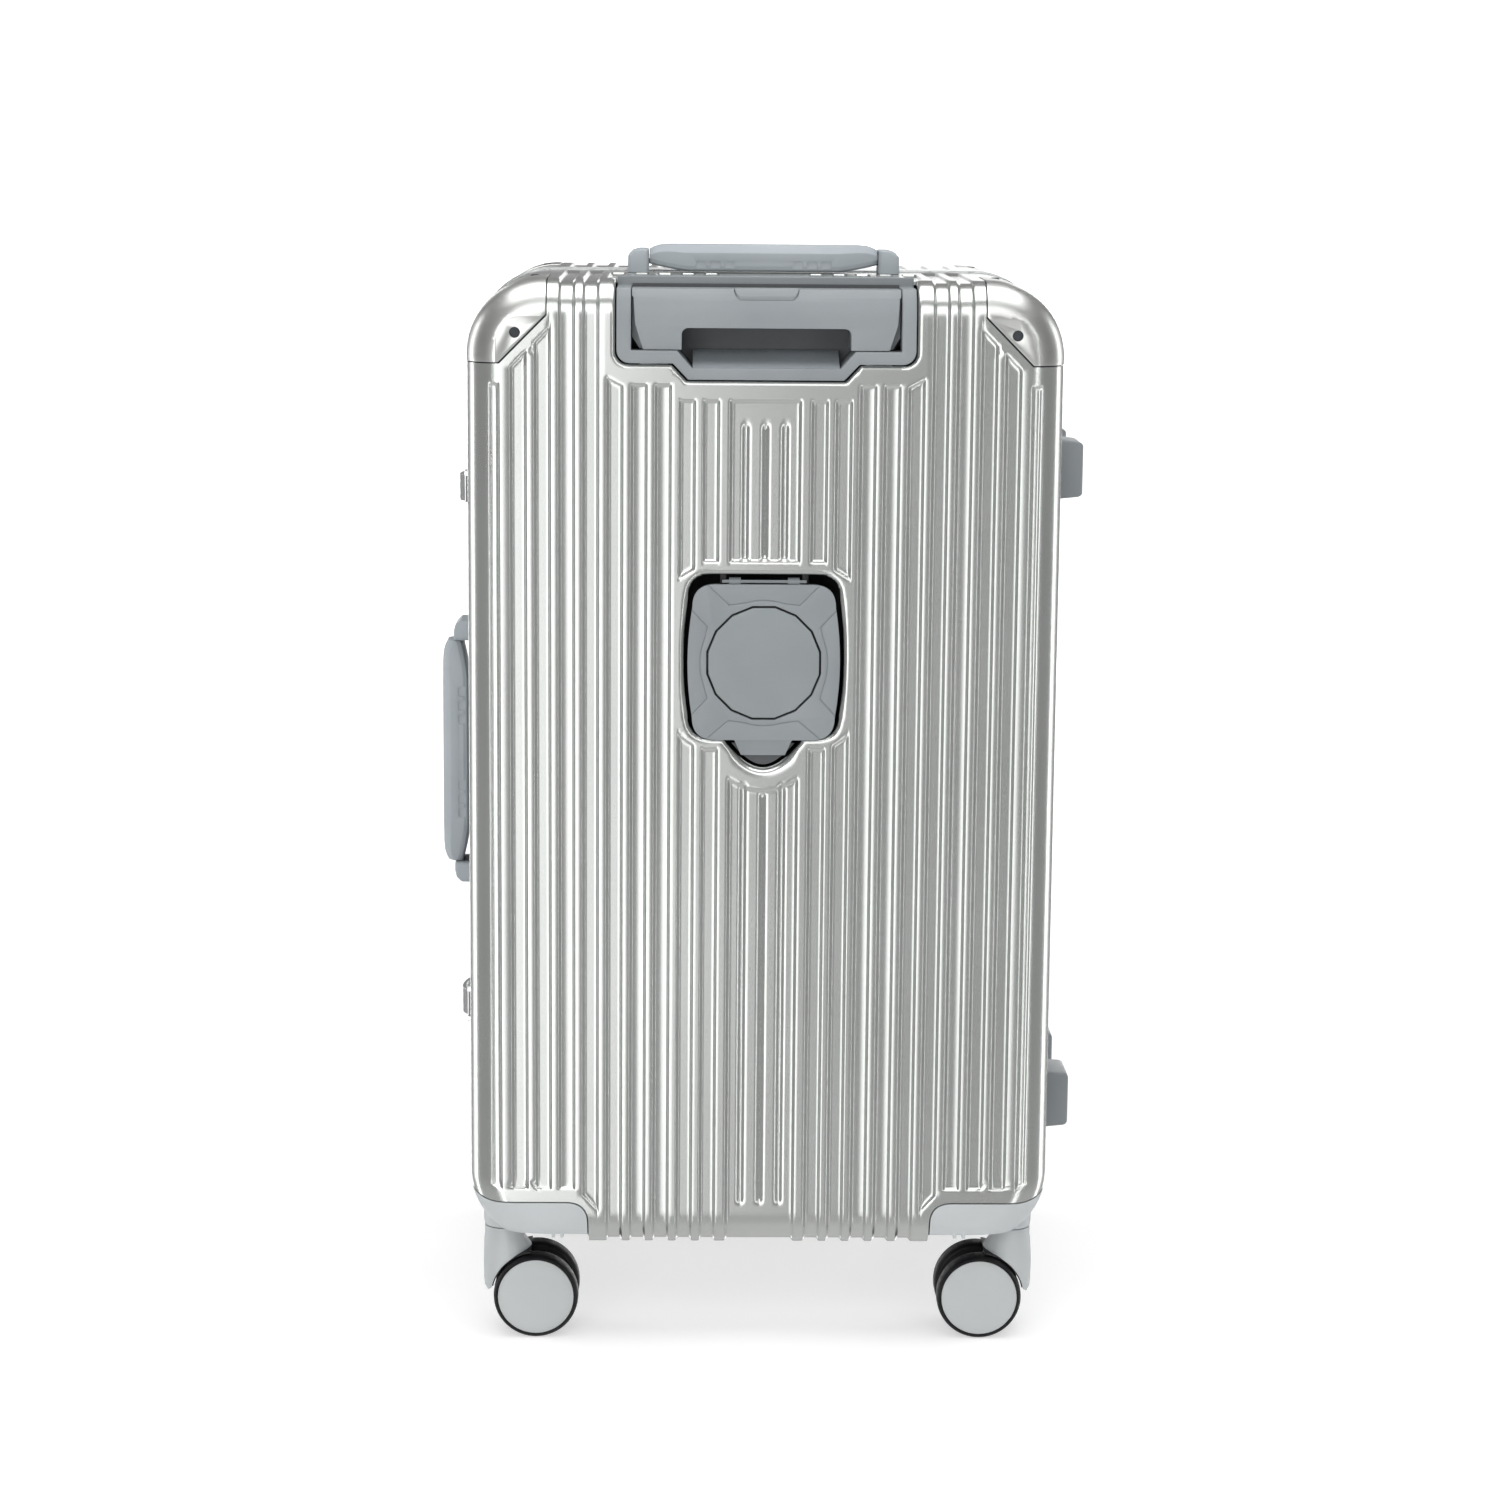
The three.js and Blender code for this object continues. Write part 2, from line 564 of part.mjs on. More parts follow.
function carryHandle(name, endNames, drawnOut) {
  const group = new THREE.Group();
  add(`${name}_post_${endNames[0]}`, handlePost(-1), GREY_PLASTIC, group);
  add(`${name}_post_${endNames[1]}`, handlePost(1), GREY_PLASTIC, group);
  add(`${name}_grip`, handleGrip(), GREY_PLASTIC, group).position.z = drawnOut;
  suitcase.add(group);
  return group;
}
carryHandle("top_handle", ["left", "right"], 0).position.set(0, -HANDLE.inY, TOP);
const sideHandle = carryHandle("side_handle", ["lower", "upper"], HANDLE.play);
sideHandle.position.set(-HALF_WIDTH, -HANDLE.inY, (TOP + BOTTOM) / 2 - HANDLE.belowMid);
sideHandle.rotation.y = -Math.PI / 2;

// ---------------------------------------------------------------- latches
const latchX = -HALF_WIDTH - LATCH.pivotOut;
const latchY = -LATCH.pivotY;

function latchBase(z) {
  const half = LATCH.tall / 2;
  const foot = [latchX + LATCH_LEVER.knuckleR + GAP, -HALF_WIDTH - GAP];
  const plate = block(foot, [latchY - 14, -FRAME_BACK], [z - half - 2, z + half + 2]);
  const ears = [-1, 1].map((end) => {
    const low = end < 0 ? z - half : z + half - 3.5;
    return block([latchX - 3, foot[1] - 1], [latchY - 5, latchY + 5], [low, low + 3.5]);
  });
  const pin = rod("z", latchX, latchY, 1.6, z - half + 1, z + half - 1, 12);
  return union(plate, ...ears, pin);
}

function latchLever(z) {
  const half = LATCH.tall / 2 - 3.5 - RUNNING_GAP;
  const outside = -HALF_WIDTH - LATCH_LEVER.rise;
  const t = LATCH_LEVER.thick;
  const shape = new THREE.Shape();
  shape.moveTo(latchX - LATCH_LEVER.knuckleR + 0.5, latchY);
  shape.quadraticCurveTo(outside - 1, latchY + 10, outside, latchY / 4);
  shape.quadraticCurveTo(outside + 0.6, LATCH.reach - 8, latchX - 2.4, LATCH.reach);
  shape.lineTo(latchX - 0.6, LATCH.reach - 1);
  shape.quadraticCurveTo(outside + t + 0.6, LATCH.reach - 8, outside + t, latchY / 4);
  shape.quadraticCurveTo(outside + t, latchY + 10, latchX - 1, latchY + 2.8);
  const arm = prism(shape, "z", z - half, z + half, 4);
  const knuckle = rod("z", latchX, latchY, LATCH_LEVER.knuckleR, z - half, z + half);
  const bore = rod("z", latchX, latchY, 1.6 + RUNNING_GAP, z - half - 1, z + half + 1, 12);
  return cut(union(arm, knuckle), bore);
}

function latchCatch(z) {
  const face = -HALF_WIDTH - FRAME.proud;
  const half = LATCH.tall / 2 - 4;
  return block([face - 4, face - GAP], [2, FRAME.width], [z - half, z + half]);
}

const LATCHES = [
  { name: "upper", z: TOP - LATCH.below },
  { name: "lower", z: BOTTOM + LATCH.above },
];
for (const { name, z } of LATCHES) {
  add(`latch_base_${name}`, latchBase(z), METAL);
  add(`latch_lever_${name}`, latchLever(z), METAL);
  add(`latch_catch_${name}`, latchCatch(z), METAL);
}

// ---------------------------------------------------------------- lid hinge
const hingeX = HALF_WIDTH + HINGE.out;
const hingeLow = BOTTOM + HINGE.ends;
const hingeHigh = TOP - HINGE.ends;
const knucklePitch = (hingeHigh - hingeLow) / HINGE.knuckles;

function hingeLeaf(side) {
  const face = HALF_WIDTH + FRAME.proud + GAP;
  const y = side < 0 ? [-FRAME.width, -4.5] : [4.5, FRAME.width];
  let made = block([face, face + HINGE.leaf], y, [hingeLow, hingeHigh]);
  for (let i = side < 0 ? 0 : 1; i < HINGE.knuckles; i += 2) {
    const low = hingeLow + i * knucklePitch + GAP;
    const high = low + knucklePitch - 2 * GAP;
    const web = block([face, face + HINGE.leaf], side < 0 ? [-5, -1.5] : [1.5, 5], [low, high]);
    made = union(made, web, rod("z", hingeX, 0, HINGE.r, low, high, 12));
  }
  return cut(made, rod("z", hingeX, 0, HINGE.pinR + RUNNING_GAP, hingeLow - 1, hingeHigh + 1, 12));
}
add("hinge_leaf_rear", hingeLeaf(-1), METAL);
add("hinge_leaf_front", hingeLeaf(1), METAL);
add("hinge_pin", rod("z", hingeX, 0, HINGE.pinR, hingeLow, hingeHigh, 12), METAL);

// ---------------------------------------------------------------- side feet
function sideFoot(side, z) {
  const half = FOOT.tall / 2;
  const face = HALF_WIDTH + FOOT.out;
  const tip = half - FOOT.taper;
  const outline = polygon([
    [HALF_WIDTH + GAP, z - half],
    [face - 2, z - tip - 1],
    [face, z - tip + 1],
    [face, z + tip - 1],
    [face - 2, z + tip + 1],
    [HALF_WIDTH + GAP, z + half],
  ]);
  return prism(outline, "y", side < 0 ? -FOOT.to : FOOT.from, side < 0 ? -FOOT.from : FOOT.to);
}
for (const { name, side } of HALVES) {
  add(`side_foot_${name}_upper`, sideFoot(side, TOP - FOOT.below), GREY_PLASTIC);
  add(`side_foot_${name}_lower`, sideFoot(side, BOTTOM + FOOT.above), GREY_PLASTIC);
}

// ---------------------------------------------------------------- casters
// Drawn with the swivel axis on z and the wheel trailing towards +x; z is the height above the floor.
const axleEnd = CASTER.wheelGap / 2 + CASTER.wheelWidth - 3.4;

function casterFork() {
  const top = BOTTOM + HOUSING.floorUp - SWIVEL.bossDrop - SWIVEL.clear;
  const collarLow = 2 * CASTER.wheelR + 4;
  const hub = { x: CASTER.trail, z: AXLE_UP };
  const stem = rod("z", 0, 0, SWIVEL.stemR, top - 4, top + SWIVEL.boreDeep - 1);
  const collar = rod("z", 0, 0, SWIVEL.bossR, collarLow, top, 24);
  const legHalf = CASTER.wheelGap / 2 - 1.2;
  const leg = polygon([
    [-12, collarLow + 2],
    [-9, hub.z + 15],
    [hub.x - 9, hub.z - 3],
    [hub.x, hub.z - 8],
    [hub.x + 8, hub.z],
    [hub.x + 5, hub.z + 12],
    [12, collarLow + 2],
  ]);
  const near = CASTER.wheelR + 1.8;
  const fender = new THREE.Shape();
  fender.absarc(hub.x, hub.z, near + 3, 0.5 * Math.PI, 0.95 * Math.PI, false);
  fender.absarc(hub.x, hub.z, near, 0.95 * Math.PI, 0.5 * Math.PI, true);
  const cover = prism(fender, "y", -axleEnd, axleEnd);
  const axle = rod("y", hub.x, hub.z, SWIVEL.axleR, -axleEnd, axleEnd, 12);
  return union(stem, collar, prism(leg, "y", -legHalf, legHalf), cover, axle);
}

function casterWheel(hand) {
  const r = CASTER.wheelR;
  const w = CASTER.wheelWidth;
  const bore = SWIVEL.axleR + RUNNING_GAP;
  const profile = [
    [0, w - 3],
    [bore, w - 3],
    [bore, 0],
    [r - 3, 0],
    [r, 3],
    [r, w - 3],
    [r - 2.5, w],
    [0, w],
  ].map(([a, b]) => new THREE.Vector2(a, b));
  const lathe = new THREE.LatheGeometry(profile, WHEEL_SIDES, Math.PI / WHEEL_SIDES);
  if (hand < 0) lathe.rotateX(Math.PI);
  return solid(lathe.translate(CASTER.trail, (hand * CASTER.wheelGap) / 2, AXLE_UP));
}

const fork = casterFork();
const wheelLow = casterWheel(-1);
const wheelHigh = casterWheel(1);
for (const { name, side } of HALVES) {
  for (const { name: handName, hand } of HANDS) {
    const group = new THREE.Group();
    group.position.set(hand * STEM.x, side * STEM.y, 0);
    group.rotation.z = hand > 0 ? Math.PI : 0; // the wheels trail inwards
    const lowIsOuter = side * hand > 0;
    add(`caster_fork_${name}_${handName}`, fork, PALE_PLASTIC, group);
    add(`wheel_outer_${name}_${handName}`, lowIsOuter ? wheelLow : wheelHigh, TYRE, group);
    add(`wheel_inner_${name}_${handName}`, lowIsOuter ? wheelHigh : wheelLow, TYRE, group);
    suitcase.add(group);
  }
}

export default suitcase;
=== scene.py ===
"""The looks of a framed hard-shell suitcase on four twin casters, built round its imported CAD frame.

Shapes are worked out in millimetres, with +Z up and the rear half on the -Y side.
"""

import json
import math

import bmesh
import bpy
import numpy as np
from mathutils import Matrix, Vector

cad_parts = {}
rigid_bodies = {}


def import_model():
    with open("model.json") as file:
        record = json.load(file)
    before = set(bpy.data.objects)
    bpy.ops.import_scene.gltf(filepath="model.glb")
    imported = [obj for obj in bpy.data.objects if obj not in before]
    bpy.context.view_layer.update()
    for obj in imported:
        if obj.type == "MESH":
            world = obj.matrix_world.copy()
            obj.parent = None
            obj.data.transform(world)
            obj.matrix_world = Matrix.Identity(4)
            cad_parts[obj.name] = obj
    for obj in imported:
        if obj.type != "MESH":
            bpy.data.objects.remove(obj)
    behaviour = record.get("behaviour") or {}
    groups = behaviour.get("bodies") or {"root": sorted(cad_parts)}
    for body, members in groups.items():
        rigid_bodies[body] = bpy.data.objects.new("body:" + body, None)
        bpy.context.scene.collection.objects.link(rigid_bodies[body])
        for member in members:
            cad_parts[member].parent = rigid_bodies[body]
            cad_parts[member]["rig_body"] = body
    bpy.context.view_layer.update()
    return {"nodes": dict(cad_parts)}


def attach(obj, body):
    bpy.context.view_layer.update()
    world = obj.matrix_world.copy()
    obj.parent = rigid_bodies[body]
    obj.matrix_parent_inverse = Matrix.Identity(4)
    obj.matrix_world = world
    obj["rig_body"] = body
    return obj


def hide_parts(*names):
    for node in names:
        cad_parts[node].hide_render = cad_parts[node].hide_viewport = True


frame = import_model()

MM = 0.001
FAR = 1000.0

# ---------------------------------------------------------------- the case's own sizes
HALF_W, BOTTOM, TOP, HALF_D = 202.5, 70.0, 745.0, 170.0
MID_Z = (BOTTOM + TOP) / 2
CORNER_R, EDGE_R = 52.0, 25.0
RIM = 6.3  # distance of a shell's rim from the split plane
SKIN = 4.2  # how far in the shell's inner face lies
GAP = 0.3
SEAM = 0.9  # the dark line between a shell and the parts let into it
PROUD = 0.4
CUP_Z = 486.0
STEM_X, STEM_Y, TRAIL, WHEEL_R = 180.0, 130.0, 23.0, 30.0
TUBE_X, TUBE_Y = 76.0, -150.0
GUARD_DEPTH, HOUSING_DEPTH, BEZEL_DEPTH = 75.0, 74.0, 44.0
SCREW_X, SCREW_Z = 169.0, 709.0
HANDLE_Y, SIDE_HANDLE_Z = -34.0, 402.7
ALL = (-FAR, FAR)

HANDS = (("left", -1), ("right", 1))
HALVES = (("rear", -1), ("front", 1))


# ---------------------------------------------------------------- camera
def add_camera():
    place = Vector((-0.0498, -2.5477, 0.8370))
    pitch, yaw, roll = (math.radians(a) for a in (9.806, 0.986, 0.47))
    forward = Vector((math.sin(yaw) * math.cos(pitch), math.cos(yaw) * math.cos(pitch), -math.sin(pitch)))
    level = Vector((math.cos(yaw), -math.sin(yaw), 0))
    upright = level.cross(forward)
    right = level * math.cos(roll) + upright * math.sin(roll)
    up = upright * math.cos(roll) - level * math.sin(roll)
    camera = bpy.data.objects.new("camera", bpy.data.cameras.new("camera"))
    camera.data.lens = 84.64
    camera.data.sensor_width = 36
    camera.data.clip_end = 50
    camera.matrix_world = Matrix(
        [[right[i], up[i], -forward[i], place[i]] for i in range(3)] + [[0, 0, 0, 1]]
    )
    bpy.context.scene.collection.objects.link(camera)
    bpy.context.scene.camera = camera


add_camera()
bpy.context.scene.view_settings.view_transform = "Standard"


# ---------------------------------------------------------------- materials
class Nodes:
    """A small helper that makes and links the nodes of one material."""

    def __init__(self, name):
        self.material = bpy.data.materials.new(name)
        self.material.use_nodes = True
        self.tree = self.material.node_tree
        self.shader = self.tree.nodes["Principled BSDF"]
        self.place = self.add("ShaderNodeTexCoord").outputs["Object"]

    def add(self, kind, **settings):
        node = self.tree.nodes.new(kind)
        for key, value in settings.items():
            setattr(node, key, value)
        return node

    def link(self, source, target):
        self.tree.links.new(source, target)

    def mapped(self, scale):
        node = self.add("ShaderNodeMapping")
        node.inputs["Scale"].default_value = scale
        self.link(self.place, node.inputs["Vector"])
        return node.outputs["Vector"]

    def noise(self, scale, detail=3.0, stretch=(1, 1, 1)):
        node = self.add("ShaderNodeTexNoise")
        node.inputs["Scale"].default_value = scale
        node.inputs["Detail"].default_value = detail
        self.link(self.mapped(stretch), node.inputs["Vector"])
        return node.outputs["Fac"]

    def wave(self, scale, direction):
        node = self.add("ShaderNodeTexWave", bands_direction=direction)
        node.inputs["Scale"].default_value = scale
        node.inputs["Distortion"].default_value = 0.6
        self.link(self.place, node.inputs["Vector"])
        return node.outputs["Fac"]

    def spread(self, fac, low, high, start=0.35, end=0.65):
        node = self.add("ShaderNodeMapRange")
        node.inputs["From Min"].default_value = start
        node.inputs["From Max"].default_value = end
        node.inputs["To Min"].default_value = low
        node.inputs["To Max"].default_value = high
        self.link(fac, node.inputs["Value"])
        return node.outputs["Result"]

    def mix_colors(self, fac, first, second):
        node = self.add("ShaderNodeMix", data_type="RGBA")
        for key, value in (("A", first), ("B", second)):
            socket = [s for s in node.inputs if s.name == key and s.type == "RGBA"][0]
            socket.default_value = (*value, 1)
        self.link(fac, node.inputs["Factor"])
        return [s for s in node.outputs if s.type == "RGBA"][0]

    def math(self, kind, a, b):
        node = self.add("ShaderNodeMath", operation=kind)
        for i, value in enumerate((a, b)):
            if isinstance(value, (int, float)):
                node.inputs[i].default_value = value
            else:
                self.link(value, node.inputs[i])
        return node.outputs[0]

    def bump(self, height, strength, distance, under=None):
        node = self.add("ShaderNodeBump")
        node.inputs["Strength"].default_value = strength
        node.inputs["Distance"].default_value = distance
        self.link(height, node.inputs["Height"])
        if under is not None:
            self.link(under, node.inputs["Normal"])
        return node.outputs["Normal"]

    def finish(self, color=None, roughness=None, normal=None, **sockets):
        for key, source in (("Base Color", color), ("Roughness", roughness), ("Normal", normal)):
            if source is not None:
                self.link(source, self.shader.inputs[key])
        for key, value in sockets.items():
            self.shader.inputs[key.replace("_", " ")].default_value = value
        return self.material


def painted_silver():
    """Metallic silver paint on polycarbonate: fine flakes, a slow change of tone and a clear coat."""
    n = Nodes("painted_silver")
    flakes = n.noise(5200, 2)
    cloud = n.noise(7, 2)
    color = n.mix_colors(n.spread(cloud, 0, 1), (0.590, 0.606, 0.588), (0.622, 0.638, 0.620))
    rough = n.spread(n.noise(900, 3), 0.235, 0.265)
    normal = n.bump(flakes, 0.03, 0.00002)
    return n.finish(color, rough, normal, Metallic=0.92, Coat_Weight=0.25, Coat_Roughness=0.12)


def brushed_metal(name, dark, light, stretch, roughness=(0.24, 0.36)):
    """Satin aluminium or steel with a drawn grain along one direction."""
    n = Nodes(name)
    grain = n.noise(60, 4, stretch)
    color = n.mix_colors(n.spread(n.noise(14, 3), 0, 1), dark, light)
    rough = n.spread(grain, *roughness)
    return n.finish(color, rough, n.bump(grain, 0.12, 0.00006), Metallic=1.0)


def moulded_plastic(name, dark, light, roughness=(0.42, 0.52), grain=2600, depth=0.00008):
    """Injection-moulded plastic with a fine spark-eroded grain."""
    n = Nodes(name)
    color = n.mix_colors(n.spread(n.noise(16, 3), 0, 1), dark, light)
    rough = n.spread(n.noise(420, 3), *roughness)
    normal = n.bump(n.noise(grain, 3), 0.16, depth)
    return n.finish(color, rough, normal, Specular_IOR_Level=0.45)


def rubber(name, dark, light):
    """Matt tyre rubber with a coarse grain."""
    n = Nodes(name)
    color = n.mix_colors(n.spread(n.noise(90, 4), 0, 1), dark, light)
    rough = n.spread(n.noise(300, 4), 0.38, 0.55)
    return n.finish(color, rough, n.bump(n.noise(1500, 4), 0.25, 0.00012), Specular_IOR_Level=0.2)


def woven(name, dark, light, pitch, depth=0.00025):
    """Plain-weave cloth: two crossing sets of threads with slubs."""
    n = Nodes(name)
    across = n.wave(pitch, "X")
    along = n.wave(pitch, "Z")
    deep = n.wave(pitch, "Y")
    weave = n.math("ADD", n.math("MULTIPLY", across, along), n.math("MULTIPLY", deep, 0.4))
    slub = n.noise(420, 4)
    color = n.mix_colors(n.spread(n.math("MULTIPLY", weave, slub), 0, 1, 0.05, 0.6), dark, light)
    rough = n.spread(slub, 0.78, 0.95)
    normal = n.bump(weave, 0.5, depth, n.bump(n.noise(35, 3), 0.3, 0.0015))
    return n.finish(color, rough, normal, Sheen_Weight=0.3, Sheen_Roughness=0.5)


SILVER = painted_silver()
GUARD_METAL = brushed_metal(
    "guard_aluminium", (0.60, 0.61, 0.59), (0.70, 0.71, 0.69), (1, 1, 30), (0.30, 0.38)
)
FRAME_METAL = brushed_metal("frame_aluminium", (0.66, 0.67, 0.67), (0.74, 0.75, 0.75), (2, 40, 2))
TUBE_METAL = brushed_metal("tube_aluminium", (0.70, 0.71, 0.72), (0.80, 0.81, 0.82), (40, 40, 1))
STEEL = brushed_metal("polished_steel", (0.66, 0.67, 0.68), (0.78, 0.79, 0.80), (6, 6, 30), (0.14, 0.26))
DARK_STEEL = brushed_metal("dark_steel", (0.10, 0.10, 0.11), (0.18, 0.18, 0.19), (20, 20, 3), (0.25, 0.4))
GREY = moulded_plastic("grey_plastic", (0.205, 0.224, 0.236), (0.228, 0.247, 0.259))
HANDLE_GREY = moulded_plastic("handle_plastic", (0.320, 0.352, 0.378), (0.350, 0.382, 0.408))
PALE = moulded_plastic("pale_plastic", (0.440, 0.462, 0.470), (0.470, 0.492, 0.500), (0.40, 0.50))
HUBCAP = moulded_plastic("hubcap_plastic", (0.430, 0.450, 0.450), (0.456, 0.476, 0.476), (0.34, 0.42), 3400)
DISC_GREY = moulded_plastic("disc_plastic", (0.208, 0.230, 0.238), (0.230, 0.252, 0.260), (0.44, 0.55))
# Near-black grey that stands for shade: painted shade at the back of the trolley pocket and in the thumb
# scoop.
PAINTED_SHADE_GREY = moulded_plastic("painted_shade_plastic", (0.070, 0.075, 0.080), (0.085, 0.090, 0.096))
BLACK = moulded_plastic("black_plastic", (0.006, 0.006, 0.007), (0.014, 0.014, 0.016), (0.45, 0.6))
TYRE = rubber("tyre_rubber", (0.006, 0.006, 0.007), (0.013, 0.013, 0.014))
LINING = woven("lining_cloth", (0.030, 0.034, 0.040), (0.085, 0.092, 0.104), 520)
POCKET = woven("pocket_cloth", (0.045, 0.050, 0.058), (0.110, 0.118, 0.130), 640)
WEBBING = woven("webbing", (0.010, 0.011, 0.013), (0.045, 0.047, 0.052), 420, 0.0004)


def quilted():
    """Lining cloth stitched down in diamonds, puffed up between the seams, with painted shade along the
    seams.
    """
    n = Nodes("quilted_cloth")
    puffs = []
    for direction in ((1, 1, 1), (-1, -1, 1)):
        turn = n.add("ShaderNodeVectorMath", operation="DOT_PRODUCT")
        turn.inputs[1].default_value = direction
        n.link(n.place, turn.inputs[0])
        phase = n.math("FRACT", n.math("MULTIPLY", turn.outputs["Value"], 22.0), 0)
        puffs.append(n.math("POWER", n.math("SINE", n.math("MULTIPLY", phase, math.pi), 0), 0.45))
    puff = n.math("MULTIPLY", puffs[0], puffs[1])
    weave = n.math("MULTIPLY", n.wave(520, "X"), n.wave(520, "Z"))
    # The cloth is darker towards the stitched seams: painted shade in the creases between the puffs.
    color = n.mix_colors(puff, (0.028, 0.031, 0.036), (0.085, 0.092, 0.102))
    rough = n.spread(n.noise(380, 4), 0.75, 0.92)
    normal = n.bump(weave, 0.35, 0.0002, n.bump(puff, 0.8, 0.003))
    return n.finish(color, rough, normal, Sheen_Weight=0.3, Sheen_Roughness=0.5)


QUILT = quilted()


# ---------------------------------------------------------------- meshes
def obj_from(name, verts, faces, material=None):
    mesh = bpy.data.meshes.new(name)
    points = [tuple(float(c) * MM for c in v) for v in verts]
    mesh.from_pydata(points, [], [tuple(map(int, f)) for f in faces])
    mesh.update()
    made = bpy.data.objects.new(name, mesh)
    bpy.context.scene.collection.objects.link(made)
    if material is not None:
        mesh.materials.append(material)
    return made


def remove(obj):
    mesh = obj.data
    bpy.data.objects.remove(obj)
    if mesh.users == 0:
        bpy.data.meshes.remove(mesh)


def loft(name, loops, material=None, closed=False):
    """Joins loops of the same count with quads, and caps the ends unless the loft runs round on itself."""
    count = len(loops[0])
    verts = [p for loop in loops for p in loop]
    faces = []
    rings = len(loops)
    for i in range(rings if closed else rings - 1):
        a, b = i * count, ((i + 1) % rings) * count
        faces += [(a + k, a + (k + 1) % count, b + (k + 1) % count, b + k) for k in range(count)]
    if not closed:
        faces.append(tuple(range(count))[::-1])
        faces.append(tuple(range((rings - 1) * count, rings * count)))
    made = obj_from(name, verts, faces, material)
    outward(made)
    return made


def outward(obj):
    """Turns a closed mesh's faces to point out."""
    bm = bmesh.new()
    bm.from_mesh(obj.data)
    bmesh.ops.recalc_face_normals(bm, faces=bm.faces)
    bm.to_mesh(obj.data)
    bm.free()


def prism(name, outline, axis, start, end, material=None):
    """An outline in (x, z), (y, z) or (x, y), pushed along y, x or z."""
    put = {
        "y": lambda a, b, c: (a, c, b),
        "x": lambda a, b, c: (c, a, b),
        "z": lambda a, b, c: (a, b, c),
    }[axis]
    return loft(name, [[put(a, b, c) for a, b in outline] for c in (start, end)], material)


def block(name, x, y, z, material=None):
    """A box given by its spans along the three axes."""
    (x0, x1), (z0, z1) = x, z
    return prism(name, [(x0, z0), (x1, z0), (x1, z1), (x0, z1)], "y", *y, material)


def lathe(name, profile, steps, axis, centre, material=None):
    """A closed profile of (radius, along) turned round an axis through centre."""
    put = {
        "y": lambda r, t, a: (r * math.cos(a), t, r * math.sin(a)),
        "z": lambda r, t, a: (r * math.cos(a), r * math.sin(a), t),
        "x": lambda r, t, a: (t, r * math.cos(a), r * math.sin(a)),
    }[axis]
    verts, faces = [], []
    n = len(profile)
    for k in range(steps):
        angle = 2 * math.pi * k / steps
        for r, t in profile:
            x, y, z = put(max(r, 0.0), t, angle)
            verts.append((x + centre[0], y + centre[1], z + centre[2]))
    for k in range(steps):
        a, b = k * n, ((k + 1) % steps) * n
        for i in range(n - 1):
            faces.append((a + i, a + i + 1, b + i + 1, b + i))
    made = obj_from(name, verts, faces, material)
    bm = bmesh.new()
    bm.from_mesh(made.data)
    bmesh.ops.remove_doubles(bm, verts=bm.verts, dist=1e-6)
    bmesh.ops.recalc_face_normals(bm, faces=bm.faces)
    bm.to_mesh(made.data)
    bm.free()
    return made


def evaluated(obj):
    """Replaces the object's mesh by what its modifiers make of it."""
    graph = bpy.context.evaluated_depsgraph_get()
    graph.update()
    mesh = bpy.data.meshes.new_from_object(obj.evaluated_get(graph))
    old = obj.data
    obj.modifiers.clear()
    obj.data = mesh
    if old.users == 0:
        bpy.data.meshes.remove(old)


def boolean(obj, tools, kind="DIFFERENCE"):
    """Cuts the tools from the object, or joins or keeps what they share, and removes them."""
    for tool in tools:
        step = obj.modifiers.new("boolean", "BOOLEAN")
        step.operation = kind
        step.object = tool
        step.solver = "MANIFOLD"
    evaluated(obj)
    for tool in tools:
        remove(tool)


def cleaned(obj, angle):
    """Merges doubled points and flat neighbouring faces, so that a bevel finds clean edges."""
    bm = bmesh.new()
    bm.from_mesh(obj.data)
    bmesh.ops.remove_doubles(bm, verts=bm.verts, dist=5e-6)
    bmesh.ops.dissolve_limit(bm, angle_limit=math.radians(angle), verts=bm.verts, edges=bm.edges)
    bm.to_mesh(obj.data)
    bm.free()


def bevelled(obj, width, segments=2, angle=30):
    """Rounds every edge sharper than the angle."""
    step = obj.modifiers.new("bevel", "BEVEL")
    step.width = width * MM
    step.segments = segments
    step.limit_method = "ANGLE"
    step.angle_limit = math.radians(angle)
    step.miter_outer = "MITER_ARC"
    step.use_clamp_overlap = True
    evaluated(obj)


def coat(obj, material):
    """Puts one material in place of whatever the making of the object left on it."""
    obj.data.materials.clear()
    obj.data.materials.append(material)


def piece(obj, body, material=None, nodes=(), angle=32):
    """Finishes a piece: shading, the body it rides and the CAD nodes it stands for."""
    if material is not None:
        coat(obj, material)
    obj.data.shade_smooth()
    obj.data.set_sharp_from_angle(angle=math.radians(angle))
    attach(obj, body)
    if nodes:
        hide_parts(*nodes)


def joined(name, objs):
    """One object from several, which keep their own materials."""
    keep = objs[0]
    with bpy.context.temp_override(active_object=keep, selected_editable_objects=objs, selected_objects=objs):
        bpy.ops.object.join()
    keep.name = name
    keep.data.name = name
    return keep


def from_cad(node, name, width=0.5, segments=2):
    """A copy of a CAD node with its flat facets merged and its edges rounded."""
    source = frame["nodes"][node]
    made = bpy.data.objects.new(name, source.data.copy())
    bpy.context.scene.collection.objects.link(made)
    for key in list(made.keys()):
        del made[key]
    cleaned(made, 0.6)
    if width:
        bevelled(made, width, segments)
    return made


def moved(obj, x=0.0, y=0.0, z=0.0, turn=0.0):
    obj.data.transform(Matrix.Translation(Vector((x, y, z)) * MM) @ Matrix.Rotation(turn, 4, "Z"))
    return obj


# ---------------------------------------------------------------- outlines
def arc(cx, cy, r, start, end, steps):
    return [
        (cx + r * math.cos(math.radians(start + (end - start) * i / steps)),
         cy + r * math.sin(math.radians(start + (end - start) * i / steps)))
        for i in range(steps + 1)
    ]


def rounded_rect(x0, x1, y0, y1, r, steps=8):
    return (
        arc(x1 - r, y0 + r, r, -90, 0, steps)
        + arc(x1 - r, y1 - r, r, 0, 90, steps)
        + arc(x0 + r, y1 - r, r, 90, 180, steps)
        + arc(x0 + r, y0 + r, r, 180, 270, steps)
    )


